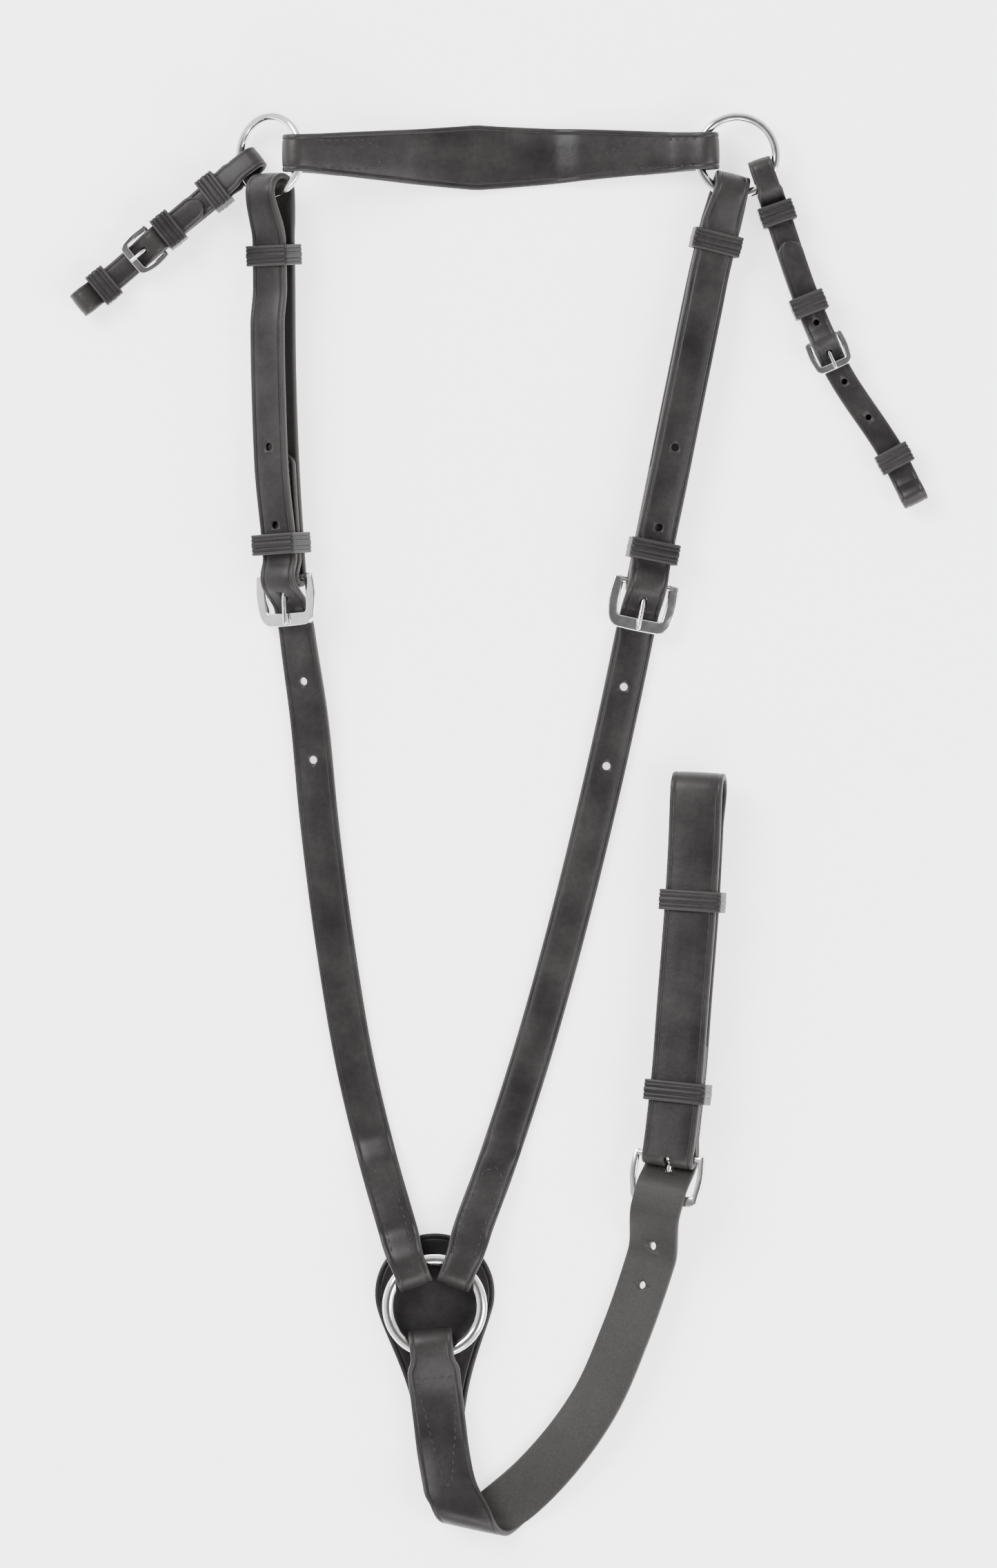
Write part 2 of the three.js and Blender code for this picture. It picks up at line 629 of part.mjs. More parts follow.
function girthStrap() {
  const { width, thick } = GIRTH;
  const b = GIRTH_BUCKLE;
  const near = new Lay(0, GIRTH_NEAR);
  const tongue = 67;
  const floor = SAFE.thick + GAP + thick / 2;
  const top = CHEST_RING.height + 5.6;
  const high = thick / 2 + 2 * CURL.radius;
  const nearView = new SideView(tongue, high - thick - GAP - 3)
    .run(38, floor)
    .run(20, floor)
    .run(-4.4, CHEST_RING.height - 5.6)
    .turn(top, -1)
    .run(22, floor + thick + GAP)
    .run(38, floor + thick + GAP)
    .run(near.length, high);
  const tip = pointed(1, 22, tongue);
  const nearFrames = layFrames(near, nearView.stations,
    (u, i) => (i < 8 ? (width - 1) * tip(u) : width * (u < 6 ? 0.83 : 1)));

  // The curl is a half turn round a line below the strap, sliding along it as it turns.
  const last = nearFrames[nearFrames.length - 1];
  const heading = near.at(near.length);
  const headingAngle = Math.atan2(heading.dy, heading.dx);
  const pitch = CURL.radius / Math.tan(CURL.axis - headingAngle);
  const axis = new THREE.Vector3(Math.cos(CURL.axis), Math.sin(CURL.axis), 0);
  const skew = -axis.dot(last.across);
  nearFrames.forEach((frame, i) => {
    const left = near.length - nearView.stations[i].u;
    if (i > 20) turnAcross(frame, axis, 1 - left / CURL.ease);
  });
  const centre = last.origin.clone().setZ(last.origin.z - CURL.radius);
  const curlFrames = [];
  for (let i = 1; i <= CURL.steps; i++) {
    const angle = (Math.PI * i) / CURL.steps;
    const spoke = new THREE.Vector3(0, 0, CURL.radius).applyAxisAngle(axis, angle);
    const origin = centre.clone().add(spoke).addScaledVector(axis, pitch * angle);
    curlFrames.push({ origin, across: axis.clone().negate(), width: width / skew });
  }
  const foot = curlFrames[curlFrames.length - 1].origin;

  // Beyond the curl the same strap lies upside down, so its side view is turned over.
  const far = new Lay(width + 5.2, [[foot.x, foot.y, 0, 0], ...GIRTH_FAR]);
  const level = levels(GIRTH, b);
  const height = 20.5;
  const bar = findU(far, 72.5);
  const under = level.bar - b.thick / 2 - 0.6 - thick / 2;
  const front = level.tongue + thick + GAP + 1.2;
  const loop = { level: 9.6, half: 7.4 };
  const flat = height - thick / 2;
  const view = new SideView(4, flat)
    .run(bar - buckleReach(b) - 30, flat)
    .run(bar - buckleReach(b) - b.front, under)
    .run(bar - buckleReach(b) + b.front / 2 + 1.1, under)
    .run(bar - 1.2, level.over)
    .run(bar + 1, level.over)
    .run(bar + 10, level.tongue + thick + GAP + 0.2)
    .run(bar + TURN_BACK - 4, front)
    .run(far.length - 58, front)
    .run(far.length - 18, front)
    .run(far.length, loop.level + loop.half)
    .turn(loop.level - loop.half, 1, 10)
    .run(far.length - 24, level.back)
    .run(bar, level.back)
    .turn(level.fold, -1)
    .run(bar + 9, level.tongue)
    .run(bar + TURN_BACK, level.tongue);
  const turned = view.stations.map(({ u, z }) => ({ u, z: height - z }));
  const count = turned.length;
  const tipAtBuckle = pointed(1, 9, bar + TURN_BACK);
  const farFrames = layFrames(far, turned, (u, i) => (i > count - 8 ? width * tipAtBuckle(u) : width));
  farFrames.forEach((frame, i) => {
    frame.across.negate();
    if (i < 20) turnAcross(frame, axis, 1 - turned[i].u / CURL.ease);
  });

  const place = far.frame(bar, height - level.bar).multiply(new THREE.Matrix4().makeRotationY(Math.PI));
  const tools = prongTools(b, place, level.foldHalf);
  for (const y of [48, 28.7, 10]) {
    tools.push(punch(far.frame(findU(far, y), thick), HOLE_RADIUS, thick * 6));
  }
  addStrap('girth_strap', [...nearFrames, ...curlFrames, ...farFrames], thick, tools);
  addBuckle('girth_buckle', b, place);
  const inner = width + 1.2;
  const bandFrame = (y, tall) => far.frame(findU(far, y), height - KEEPER.thick - tall);
  addPart('girth_keeper', band(inner, 14, KEEPER.length, KEEPER.thick, bandFrame(103.3, 14)), LEATHER);
  addPart('girth_runner', band(inner, 13, KEEPER.length, KEEPER.thick, bandFrame(195.7, 13)), LEATHER);
}
girthStrap();

const DEE_LOOP = 4.5;
const DEE_BAND = 1.8;
const LOOP_FLOOR_STEP = 0.12;

// A dee strap is one strap: buckle end, over the ring, down to an end loop and up through the buckle.
function deeStrap(side, points, at) {
  const { width, thick } = DEE;
  const b = DEE_BUCKLE;
  const lay = new Lay(width + 4.6, points);
  const along = (x, y) => nearest(lay, x, y);
  const frontBar = along(...at.frontBar);
  const bar = frontBar + buckleReach(b);
  const step = thick + GAP;
  const back = KEEPER.thick + GAP + thick / 2;
  const tongue = back + step;
  const barZ = tongue + thick / 2 + GAP + b.bar;
  const fold = barZ + b.bar + GAP + thick / 2;
  const turnBack = at.turnBack;
  const loopEnd = DEE_LOOP + thick / 2;
  const end = { half: 4.25, floor: 3.8 };
  const start = end.half + thick / 2;
  const tip = along(...at.tip);
  const last = lay.length;
  const view = new SideView(bar + turnBack, tongue)
    .run(bar, tongue)
    .turn(fold, -1)
    .run(bar + 6, tongue + step)
    .run(last - 11, tongue + step)
    .run(last - 3, at.level + DEE_LOOP)
    .run(last + 12.1 - loopEnd, at.level + DEE_LOOP)
    .turn(at.level - DEE_LOOP, 1)
    .run(last - 3, at.level - DEE_LOOP)
    .run(last - 11, back - LOOP_FLOOR_STEP)
    .run(start + end.floor + 1.2, back - LOOP_FLOOR_STEP)
    .run(start + end.floor, back)
    .run(start, back)
    .turn(back + 2 * end.half, -1)
    .run(end.half + 8, tongue)
    .run(frontBar + b.front / 2 + 0.55, tongue)
    .run(bar - 1.3, fold + step)
    .run(bar + 1, fold + step)
    .run(bar + 7, tongue + 2 * step)
    .run(tip, tongue + 2 * step);
  const count = view.stations.length;
  const tipAtBuckle = pointed(1, 5, bar + turnBack);
  const tipOfBillet = pointed(1, 6, tip);
  const widthAt = (u, i) => {
    if (i < 4) return width * tipAtBuckle(u);
    if (i > count - 4) return width * tipOfBillet(u);
    return width * (u > last - 4 ? 0.89 : 1);
  };
  const place = lay.frame(bar, barZ);
  const tools = prongTools(b, place, b.bar + GAP + thick);
  for (const [x, y] of at.holes) {
    const u = along(x, y);
    const z = u < frontBar ? tongue : tongue + 2 * step;
    tools.push(punch(lay.frame(u, z), 1.7, thick * 1.9));
  }
  addStrap(`dee_strap_${side}`, layFrames(lay, view.stations, widthAt), thick, tools);
  addBuckle(`dee_buckle_${side}`, b, place);
  const inner = width + 1;
  const bands = [
    ['keeper', at.keeper ? along(...at.keeper) : bar + 9, 4.9],
    ['ring_runner', last - 15.8, 3.5],
    ['end_runner', along(...at.endRunner), 2.4],
  ];
  for (const [kind, u, layers] of bands) {
    const tall = layers * step + 2 * GAP + 0.2;
    addPart(`dee_${kind}_${side}`, band(inner, tall, KEEPER.length, DEE_BAND, lay.frame(u, DEE_BAND)), LEATHER);
  }
}

function nearest(lay, x, y) {
  let best = 0;
  let least = Infinity;
  for (let u = -10; u <= lay.length + 10; u += 0.25) {
    const c = lay.at(u);
    const distance = Math.hypot(c.x - x, c.y - y);
    if (distance < least) {
      least = distance;
      best = u;
    }
  }
  return best;
}

deeStrap('left', [
  [-172.7, 483, 0, 0],
  [-160.8, 492.5, 0, 0],
  [-132.5, 516.6, 0, 0],
  [-111, 533.6, 0, 5],
  [-92.9, 547.4, 0, 16.7],
], {
  level: 5.3, frontBar: [-145.1, 505.2], turnBack: 24, tip: [-112.6, 532.6],
  endRunner: [-159.8, 493.3], holes: [],
});

deeStrap('right', [
  [233, 387.7, 0, 0],
  [222.2, 409.7, 0, 0],
  [193.5, 454.8, 0, 0],
  [180.7, 483.8, 0, 0],
  [164.9, 529.7, 0, 0],
  [160.3, 542.8, 0, 0],
], {
  level: 10.6, frontBar: [193.5, 454.8], turnBack: 40, tip: [170.7, 514.3],
  keeper: [180.7, 483.8], endRunner: [222.2, 409.7],
  holes: [[197.5, 446.5], [207.2, 428], [184, 475]],
});

// The origin is the middle of the footprint, on the surface.
const box = new THREE.Box3().setFromObject(group);
const centre = box.getCenter(new THREE.Vector3());
group.position.set(-centre.x, -centre.y, -box.min.z);
group.updateMatrixWorld(true);

export default group;
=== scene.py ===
"""Looks for a leather hunting breastplate martingale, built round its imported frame.

The straps follow the same lays as the frame's, in millimetres from the chest ring's centre on
the surface. X is across the neck, Y runs from chest to withers and +Z is up.
"""

import math
from types import SimpleNamespace as Sizes

import bmesh
import bpy
from bpy.props import FloatProperty, FloatVectorProperty, PointerProperty
from mathutils import Matrix, Vector


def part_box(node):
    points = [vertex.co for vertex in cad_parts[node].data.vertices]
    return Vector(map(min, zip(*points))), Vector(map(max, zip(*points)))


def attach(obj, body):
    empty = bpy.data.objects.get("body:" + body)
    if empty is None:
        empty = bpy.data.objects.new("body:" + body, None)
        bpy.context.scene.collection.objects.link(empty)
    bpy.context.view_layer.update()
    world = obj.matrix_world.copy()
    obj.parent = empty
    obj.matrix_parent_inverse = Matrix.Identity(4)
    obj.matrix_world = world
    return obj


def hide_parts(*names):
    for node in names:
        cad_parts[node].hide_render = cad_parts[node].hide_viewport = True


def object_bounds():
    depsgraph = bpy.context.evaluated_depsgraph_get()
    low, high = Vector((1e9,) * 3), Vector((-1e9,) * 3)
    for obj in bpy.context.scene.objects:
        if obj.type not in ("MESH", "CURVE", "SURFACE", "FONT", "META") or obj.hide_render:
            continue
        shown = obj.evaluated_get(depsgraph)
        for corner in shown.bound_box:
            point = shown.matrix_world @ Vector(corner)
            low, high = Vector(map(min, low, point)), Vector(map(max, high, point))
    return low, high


bl_info = {
    "name": "Hunting breastplate martingale",
    "version": (1, 0, 0),
    "blender": (4, 5, 0),
    "location": "View3D > Sidebar > Martingale",
    "description": "Builds the leatherwork, fittings and stitching of a breastplate martingale",
    "category": "Object",
}

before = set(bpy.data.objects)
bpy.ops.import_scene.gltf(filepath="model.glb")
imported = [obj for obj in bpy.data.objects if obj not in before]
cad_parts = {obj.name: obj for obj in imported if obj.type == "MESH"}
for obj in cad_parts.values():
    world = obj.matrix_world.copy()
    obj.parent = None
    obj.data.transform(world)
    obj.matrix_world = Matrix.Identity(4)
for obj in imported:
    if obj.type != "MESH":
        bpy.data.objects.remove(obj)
CAD_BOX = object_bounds()

MM = 0.001
GAP = 0.35
NECK = Sizes(width=19.0, thick=3.0)
GIRTH = Sizes(width=25.4, thick=3.0)
DEE = Sizes(width=12.7, thick=2.5)
WITHER = Sizes(end=18.0, middle=31.7, thick=3.0, middle_x=20.0)
UPPER_RING = Sizes(radius=18.9, wire=2.25)
CHEST_RING = Sizes(radius=22.6, wire=2.8, height=9.8)
SAFE = Sizes(radius=29.0, rise=6.0, tail=-53.0, tail_half_width=12.2, thick=2.5)
KEEPER = Sizes(thick=2.0, length=10.0)
LEFT_RING_TILT = math.radians(38)
LEFT_RING = Vector((-79.3, 555.7, 17.3))
RIGHT_RING = Vector((146, 555.7, 10.6))
HOLE_RADIUS = 1.9
DEE_HOLE_RADIUS = 1.4
NECK_BUCKLE = Sizes(width=31.7, length=24.3, front=6, side=5, bar=1.7, thick=3.2, prong=1.25)
GIRTH_BUCKLE = Sizes(width=35, length=25, front=5, side=3.2, bar=1.8, thick=3.2, prong=1.3)
DEE_BUCKLE = Sizes(width=19.2, length=16.4, front=3.6, side=2.8, bar=1.35, thick=2.6, prong=0.95)
CHEST_LOOP = Sizes(slack=3.5, half=5.2)
TOP_LOOP = Sizes(half=7.8, level=9.4, slack=0.8)
TURN_BACK = 61.0
RUNNER_HEIGHT = 11.0
KEEPER_HEIGHT = 14.0
CURL = Sizes(radius=6.6, axis=math.radians(-12), steps=24, ease=30)
DEE_LOOP = 4.5
DEE_BAND = 1.8

ring_low, ring_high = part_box("chest_ring")
ORIGIN = (ring_low + ring_high) / 2
ORIGIN.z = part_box("safe")[0].z


# Lays and side views.


def smooth(t):
    t = min(1.0, max(0.0, t))
    return t * t * (3 - 2 * t)


class Lay:
    """The line that a strap follows on the surface: points of x, y, height and roll."""

    def __init__(self, width, points):
        self.half_width = width / 2
        self.points = points
        self.u = [0.0]
        for start, end in zip(points, points[1:]):
            self.u.append(self.u[-1] + math.hypot(end[0] - start[0], end[1] - start[1]))
        self.length = self.u[-1]
        self.slopes = [self.slope(i) for i in range(len(points))]

    def chord(self, i):
        run = self.u[i + 1] - self.u[i]
        return [(b - a) / run for a, b in zip(self.points[i], self.points[i + 1])]

    def slope(self, i):
        last = len(self.points) - 1
        if i == 0:
            return self.chord(0)
        if i == last:
            return self.chord(last - 1)
        before = self.u[i] - self.u[i - 1]
        after = self.u[i + 1] - self.u[i]
        pairs = zip(self.chord(i - 1), self.chord(i))
        return [(a * after + b * before) / (before + after) for a, b in pairs]

    def at(self, u):
        """x, y, height, roll, dx and dy at u."""
        last = len(self.points) - 1
        if u <= 0 or u >= self.length:
            i = 0 if u <= 0 else last
            over = u - self.u[i]
            x, y, height, roll = self.points[i]
            dx, dy = self.slopes[i][:2]
            return x + dx * over, y + dy * over, height, roll, dx, dy
        i = 0
        while u > self.u[i + 1]:
            i += 1
        run = self.u[i + 1] - self.u[i]
        t = (u - self.u[i]) / run
        values, rates = [], []
        for k in range(4):
            a, b = self.points[i][k], self.points[i + 1][k]
            ma, mb = self.slopes[i][k] * run, self.slopes[i + 1][k] * run
            square, cube = 3 * (b - a) - 2 * ma - mb, 2 * (a - b) + ma + mb
            values.append(a + t * (ma + t * (square + t * cube)))
            rates.append((ma + t * (2 * square + 3 * t * cube)) / run)
        return (*values, rates[0], rates[1])

    def place(self, u, v, z):
        """The point u along the lay, v to the right of it and z above the surface, rolled."""
        x, y, height, roll, dx, dy = self.at(u)
        speed = math.hypot(dx, dy)
        sine, cosine = math.sin(math.radians(roll)), math.cos(math.radians(roll))
        across = v * cosine - z * sine
        up = height + self.half_width * abs(sine) + v * sine + z * cosine
        return Vector((x + dy / speed * across, y - dx / speed * across, up))

    def frame(self, u, z):
        """A rigid frame at u: x to the right, y along the lay, z out of the strap."""
        origin = self.place(u, 0, z)
        right = (self.place(u, 1, z) - origin).normalized()
        along = self.place(u + 1, 0, z) - self.place(u - 1, 0, z)
        along = (along - right * along.dot(right)).normalized()
        return rigid(right, along, right.cross(along), origin)

    def find(self, y):
        low, high = 0.0, self.length
        for _ in range(40):
            middle = (low + high) / 2
            if self.at(middle)[1] < y:
                low = middle
            else:
                high = middle
        return (low + high) / 2

    def nearest(self, x, y):
        def distance(step):
            c = self.at(step * 0.25)
            return math.hypot(c[0] - x, c[1] - y)

        return min(range(-40, int(4 * (self.length + 10))), key=distance) * 0.25


def rigid(x, y, z, origin):
    return Matrix((
        (x[0], y[0], z[0], origin[0]),
        (x[1], y[1], z[1], origin[1]),
        (x[2], y[2], z[2], origin[2]),
        (0, 0, 0, 1),
    ))


class SideView:
    """A strap's side view: stations of u and z, with the named stretches that they make up."""

    def __init__(self, u, z):
        self.stations = [(u, z)]
        self.spans = {}

    def run(self, u, z, name=None, step=2.2):
        from_u, from_z = self.stations[-1]
        level = abs(z - from_z) < 0.05
        count = max(1, round(abs(u - from_u) / (step * 1.6 if level else step)))
        first = len(self.stations) - 1
        for i in range(1, count + 1):
            t = i / count
            self.stations.append((from_u + (u - from_u) * t, from_z + (z - from_z) * smooth(t)))
        if name:
            start = self.spans[name][0] if name in self.spans else first
            self.spans[name] = (start, len(self.stations) - 1)
        return self

    def turn(self, z, side, count=18):
        from_u, from_z = self.stations[-1]
        radius = (z - from_z) / 2
        for i in range(1, count + 1):
            angle = math.pi * i / count
            u = from_u + side * abs(radius) * math.sin(angle)
            self.stations.append((u, from_z + radius * (1 - math.cos(angle))))
        return self


class Station:
    """One cross-section of a strap: where it is, which way it faces and how wide it is."""

    def __init__(self, origin, across, width, u=0.0):
        self.origin, self.across, self.width, self.u = origin, across, width, u
        self.along = self.out = None


def lay_stations(lay, stations, width_at):
    found = []
    for i, (u, z) in enumerate(stations):
        origin = lay.place(u, 0, z)
        across = (lay.place(u, 1, z) - origin).normalized()
        found.append(Station(origin, across, width_at(u, i), u))
    return found


def face_out(stations):
    """Works out which way each station runs and faces."""
    last = len(stations) - 1
    for i, s in enumerate(stations):
        before, after = stations[max(0, i - 1)].origin, stations[min(last, i + 1)].origin
        s.along = (after - before).normalized()
        s.out = s.along.cross(s.across).normalized()
    return stations


def pointed(length, start):
    """A width factor that rounds a strap's end off over the given length."""
    def factor(u):
        t = min(1.0, max(0.045, abs(u - start) / length))
        return math.sqrt(1 - (1 - t) ** 2)

    return factor


# Sweeps.


def sweep(bm, rings, closed=False, values=None):
    """Skins equal rings of points by extruding a loop of edges from each ring to the next."""
    layers = [(bm.verts.layers.float.new(name), numbers) for name, numbers in (values or {}).items()]

    def mark(verts, i):
        for layer, numbers in layers:
            for vert, number in zip(verts, numbers[i]):
                vert[layer] = number

    verts = first = [bm.verts.new(p) for p in rings[0]]
    edges = start = [bm.edges.new(pair) for pair in zip(verts, verts[1:] + verts[:1])]
    mark(verts, 0)
    for i, ring in enumerate(rings[1:], 1):
        geom = bmesh.ops.extrude_edge_only(bm, edges=edges)["geom"]
        made = {g for g in geom if isinstance(g, bmesh.types.BMVert)}
        verts = [next(v for v in (e.other_vert(old) for e in old.link_edges) if v in made) for old in verts]
        edges = [g for g in geom if isinstance(g, bmesh.types.BMEdge) and made.issuperset(g.verts)]
        for vert, point in zip(verts, ring):
            vert.co = point
        mark(verts, i)
    if closed:
        bmesh.ops.bridge_loops(bm, edges=start + edges)
    else:
        bm.faces.new(first)
        bm.faces.new(verts)
    bmesh.ops.recalc_face_normals(bm, faces=bm.faces)


def finish_mesh(bm, name, material, smooth_angle=40):
    """Makes the object, in the row frame, with soft shading below the given angle."""
    bmesh.ops.transform(bm, matrix=Matrix.Translation(ORIGIN) @ Matrix.Scale(MM, 4), verts=bm.verts)
    mesh = bpy.data.meshes.new(name)
    for face in bm.faces:
        face.smooth = True
    limit = math.radians(smooth_angle)
    for edge in bm.edges:
        edge.smooth = not (len(edge.link_faces) == 2 and edge.calc_face_angle(0) > limit)
    bm.to_mesh(mesh)
    bm.free()
    obj = bpy.data.objects.new(name, mesh)
    bpy.context.scene.collection.objects.link(obj)
    obj.data.materials.append(material)
    return obj


def settle(obj, body, slot, *nodes):
    """Rides the piece on its body and hides the nodes it stands for; the slot argument is not used."""
    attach(obj, body)
    if nodes:
        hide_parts(*nodes)
    return obj


def apply_modifiers(obj):
    with bpy.context.temp_override(object=obj, active_object=obj, selected_objects=[obj]):
        for modifier in list(obj.modifiers):
            bpy.ops.object.modifier_apply(modifier=modifier.name)


def cut(obj, *cutters):
    """Cuts closed tools out of an object, one bmesh in millimetres after another."""
    for number, cutter in enumerate(cutters):
        tool = finish_mesh(cutter, f"hole_tools_{number}", obj.data.materials[0])
        modifier = obj.modifiers.new("holes", "BOOLEAN")
        modifier.operation = "DIFFERENCE"
        modifier.solver = "EXACT"
        modifier.object = tool
        apply_modifiers(obj)
        bpy.data.objects.remove(tool)


# Straps.


def section(width, thick, look):
    """Points round a strap, as across, face and grain: creased on the grain face, rounded at the edges."""
    half, h = width / 2, thick / 2
    r = min(look.edge_round, half * 0.3, h * 0.7)
    inset = max(half - min(look.crease_inset, 0.35 + width * 0.13), half * 0.45)
    share = min(1.0, width / 19)
    depth, crown = look.crease_depth * share, look.crown * share
    groove = min(0.42, (half - r - inset) / 1.9)
    side = [
        (inset * 0.4, -h - crown * 0.75, 1),
        (inset - 1.7 * groove, -h - crown * 0.12, 1),
        (inset - 0.8 * groove, -h + depth * 0.35, 1),
        (inset, -h + depth, 1),
        (inset + 0.8 * groove, -h + depth * 0.3, 1),
        (inset + 1.7 * groove, -h - crown * 0.1, 1),
        (half - r, -h + 0.04, 1),
        (half - r * 0.4, -h + r * 0.16, 1),
        (half - r * 0.08, -h + r * 0.6, 0.7),
        (half, 0.0, 0.5),
        (half - r * 0.05, h - r * 0.55, 0.3),
        (half - r * 0.45, h - r * 0.08, 0),
        (half - r, h, 0),
        (half * 0.45, h, 0),
    ]
    points = [(0, -h - crown, 1), *side, (0, h, 0)]
    points += [(-s, f, g) for s, f, g in reversed(side)]
    return points


def build_strap(name, stations, thick, look, material):
    """A strap swept along its stations, with how near each point is to an edge, fold and grain; the fold
    measure drives the painted sheen at folds.
    """
    face_out(stations)
    rings, edges, grains, bends = [], [], [], []
    for i, s in enumerate(stations):
        points = section(s.width, thick, look)
        rings.append([s.origin + s.across * a + s.out * f for a, f, _ in points])
        edges.append([s.width / 2 - abs(a) for a, _, _ in points])
        grains.append([g for _, _, g in points])
        # How sharply the strap bends here, which the leather uses to paint a sheen on folds.
        before, after = stations[max(0, i - 2)], stations[min(len(stations) - 1, i + 2)]
        run = max(0.5, (after.origin - before.origin).length)
        bend = min(1.0, before.along.angle(after.along) / run * 4.5)
        bends.append([bend] * len(points))
    bm = bmesh.new()
    sweep(bm, rings, values={"edge_mm": edges, "grain": grains, "bend": bends})
    return finish_mesh(bm, name, material, 50)


def hole_tool(bm, matrix, radius, depth, stretch=0.0, flare=0.35):
    """A punch with flared ends, optionally drawn out along the strap into an oval."""
    profile = [(0, -depth), (radius + flare, -depth), (radius + flare * 0.9, -depth * 0.6),
               (radius, -depth * 0.35), (radius, depth * 0.35), (radius + flare * 0.9, depth * 0.6),
               (radius + flare, depth), (0, depth)]
    verts = [bm.verts.new((r, 0, z)) for r, z in profile]
    edges = [bm.edges.new(pair) for pair in zip(verts, verts[1:])]
    before = set(bm.verts) - set(verts)
    bmesh.ops.spin(bm, geom=verts + edges, cent=(0, 0, 0), axis=(0, 0, 1), dvec=(0, 0, 0),
                   angle=math.tau, steps=20, use_merge=True, use_duplicate=False)
    made = [v for v in bm.verts if v not in before]
    bmesh.ops.remove_doubles(bm, verts=made, dist=1e-4)
    made = [v for v in bm.verts if v not in before]
    for vert in made:
        if abs(vert.co.y) > 0.01:
            vert.co.y += math.copysign(stretch, vert.co.y)
    bmesh.ops.transform(bm, matrix=matrix, verts=made)
    bmesh.ops.recalc_face_normals(bm, faces=bm.faces)


def levels(leather, b):
    """Levels of the leather layers where a strap is doubled through its buckle."""
    t = leather.thick
    back = KEEPER.thick + GAP + t / 2
    bar = back + t / 2 + GAP + b.bar
    fold = bar + b.bar + GAP + t / 2
    return Sizes(back=back, bar=bar, fold=fold, tongue=back + t + GAP, over=fold + t + GAP,
                 fold_half=b.bar + GAP + t)


def buckle_reach(b):
    return b.length - b.bar - b.front / 2


def prong_line(b):
    start = Vector((0, -b.bar - 0.9, b.bar + 0.3))
    end = Vector((0, -buckle_reach(b) - b.front * 0.35, b.thick / 2 + GAP + b.prong + 0.4))
    return start, end


def slot_tool(bm, b, matrix, fold_half):
    """The slot in the strap's fold that the prong's eye turns in."""
    slot = matrix @ Matrix.Translation((0, -fold_half * 0.2, 0))
    hole_tool(bm, slot, b.prong + 0.5, fold_half + 0.1, stretch=fold_half * 0.75, flare=0.0)


# How far a prong's hole lets it lift, in degrees.
PRONG_LIFT = 7


def prong_tool(b, matrix):
    """The hole that the prong comes up through, drawn out so that it stays clear as it lifts."""
    start, end = prong_line(b)
    run = end - start
    tilt = Matrix.Rotation(math.atan2(run.z, run.y) + math.pi / 2, 4, "X")
    half_lift = Matrix.Rotation(-math.radians(PRONG_LIFT / 2), 4, "X")
    bm = bmesh.new()
    hole_tool(bm, matrix @ half_lift @ Matrix.Translation(start + run * 0.2) @ tilt, b.prong + 0.5,
              run.length * 0.5, stretch=run.length * 0.06, flare=0.0)
    return bm


# Bands.


def build_band(name, inner_width, inner_height, thick, matrix, look, material):
    """A keeper or runner: a creased strip of leather bent round into a closed loop."""
    corner = 1.7
    w, h = inner_width / 2 + thick, inner_height + thick
    centres = [(w - corner, -thick + corner, -90), (w - corner, h - corner, 0),
               (-w + corner, h - corner, 90), (-w + corner, -thick + corner, 180)]
    path = []
    for cx, cz, start in centres:
        for i in range(7):
            angle = math.radians(start + 15 * i)
            path.append((cx + corner * math.cos(angle), cz + corner * math.sin(angle), angle))
    half = KEEPER.length / 2
    groove, deep = 0.42, look.crease_depth * 0.9
    outer = [(-half + 0.55, 0.0), (-half + 1.2, 0.0), (-half + 1.2 + groove, -deep),
             (-half + 1.2 + 2 * groove, 0.0)]
    middle = [(-1.1 - 2 * groove, 0.02), (-1.1 - groove, -deep), (-1.1, 0.06), (0.0, 0.12)]
    face = outer + middle
    face += [(-y, n) for y, n in reversed(outer + middle[:-1])]
    profile = [(-half, -0.55), (-half + 0.16, -0.16), *face, (half - 0.16, -0.16), (half, -0.55),
               (half, -thick + 0.5), (half - 0.3, -thick + 0.05), (-half + 0.3, -thick + 0.05),
               (-half, -thick + 0.5)]
    rings, edges, grains = [], [], []
    for x, z, angle in path:
        normal = Vector((math.cos(angle), 0, math.sin(angle)))
        rings.append([matrix @ (Vector((x, y, z)) + normal * n) for y, n in profile])
        edges.append([half - abs(y) for y, _ in profile])
        grains.append([1.0 if n > -thick * 0.5 else 0.0 for _, n in profile])
    bm = bmesh.new()
    unbent = [[0.0] * len(profile)] * len(rings)
    sweep(bm, rings, closed=True, values={"edge_mm": edges, "grain": grains, "bend": unbent})
    return finish_mesh(bm, name, material, 50)


# Fittings.


def build_ring(name, radius, wire, matrix, material):
    """A welded wire ring, spun from a circle."""
    bm = bmesh.new()
    circle = bmesh.ops.create_circle(bm, segments=24, radius=wire)["verts"]
    bmesh.ops.rotate(bm, verts=circle, cent=(0, 0, 0), matrix=Matrix.Rotation(math.pi / 2, 3, "X"))
    bmesh.ops.translate(bm, verts=circle, vec=(radius, 0, 0))
    bmesh.ops.spin(bm, geom=bm.verts[:] + bm.edges[:], cent=(0, 0, 0), axis=(0, 0, 1), dvec=(0, 0, 0),
                   angle=math.tau, steps=128, use_merge=True, use_duplicate=False)
    bmesh.ops.remove_doubles(bm, verts=bm.verts, dist=1e-4)
    bmesh.ops.recalc_face_normals(bm, faces=bm.faces)
    bmesh.ops.transform(bm, matrix=matrix, verts=bm.verts)
    return finish_mesh(bm, name, material)


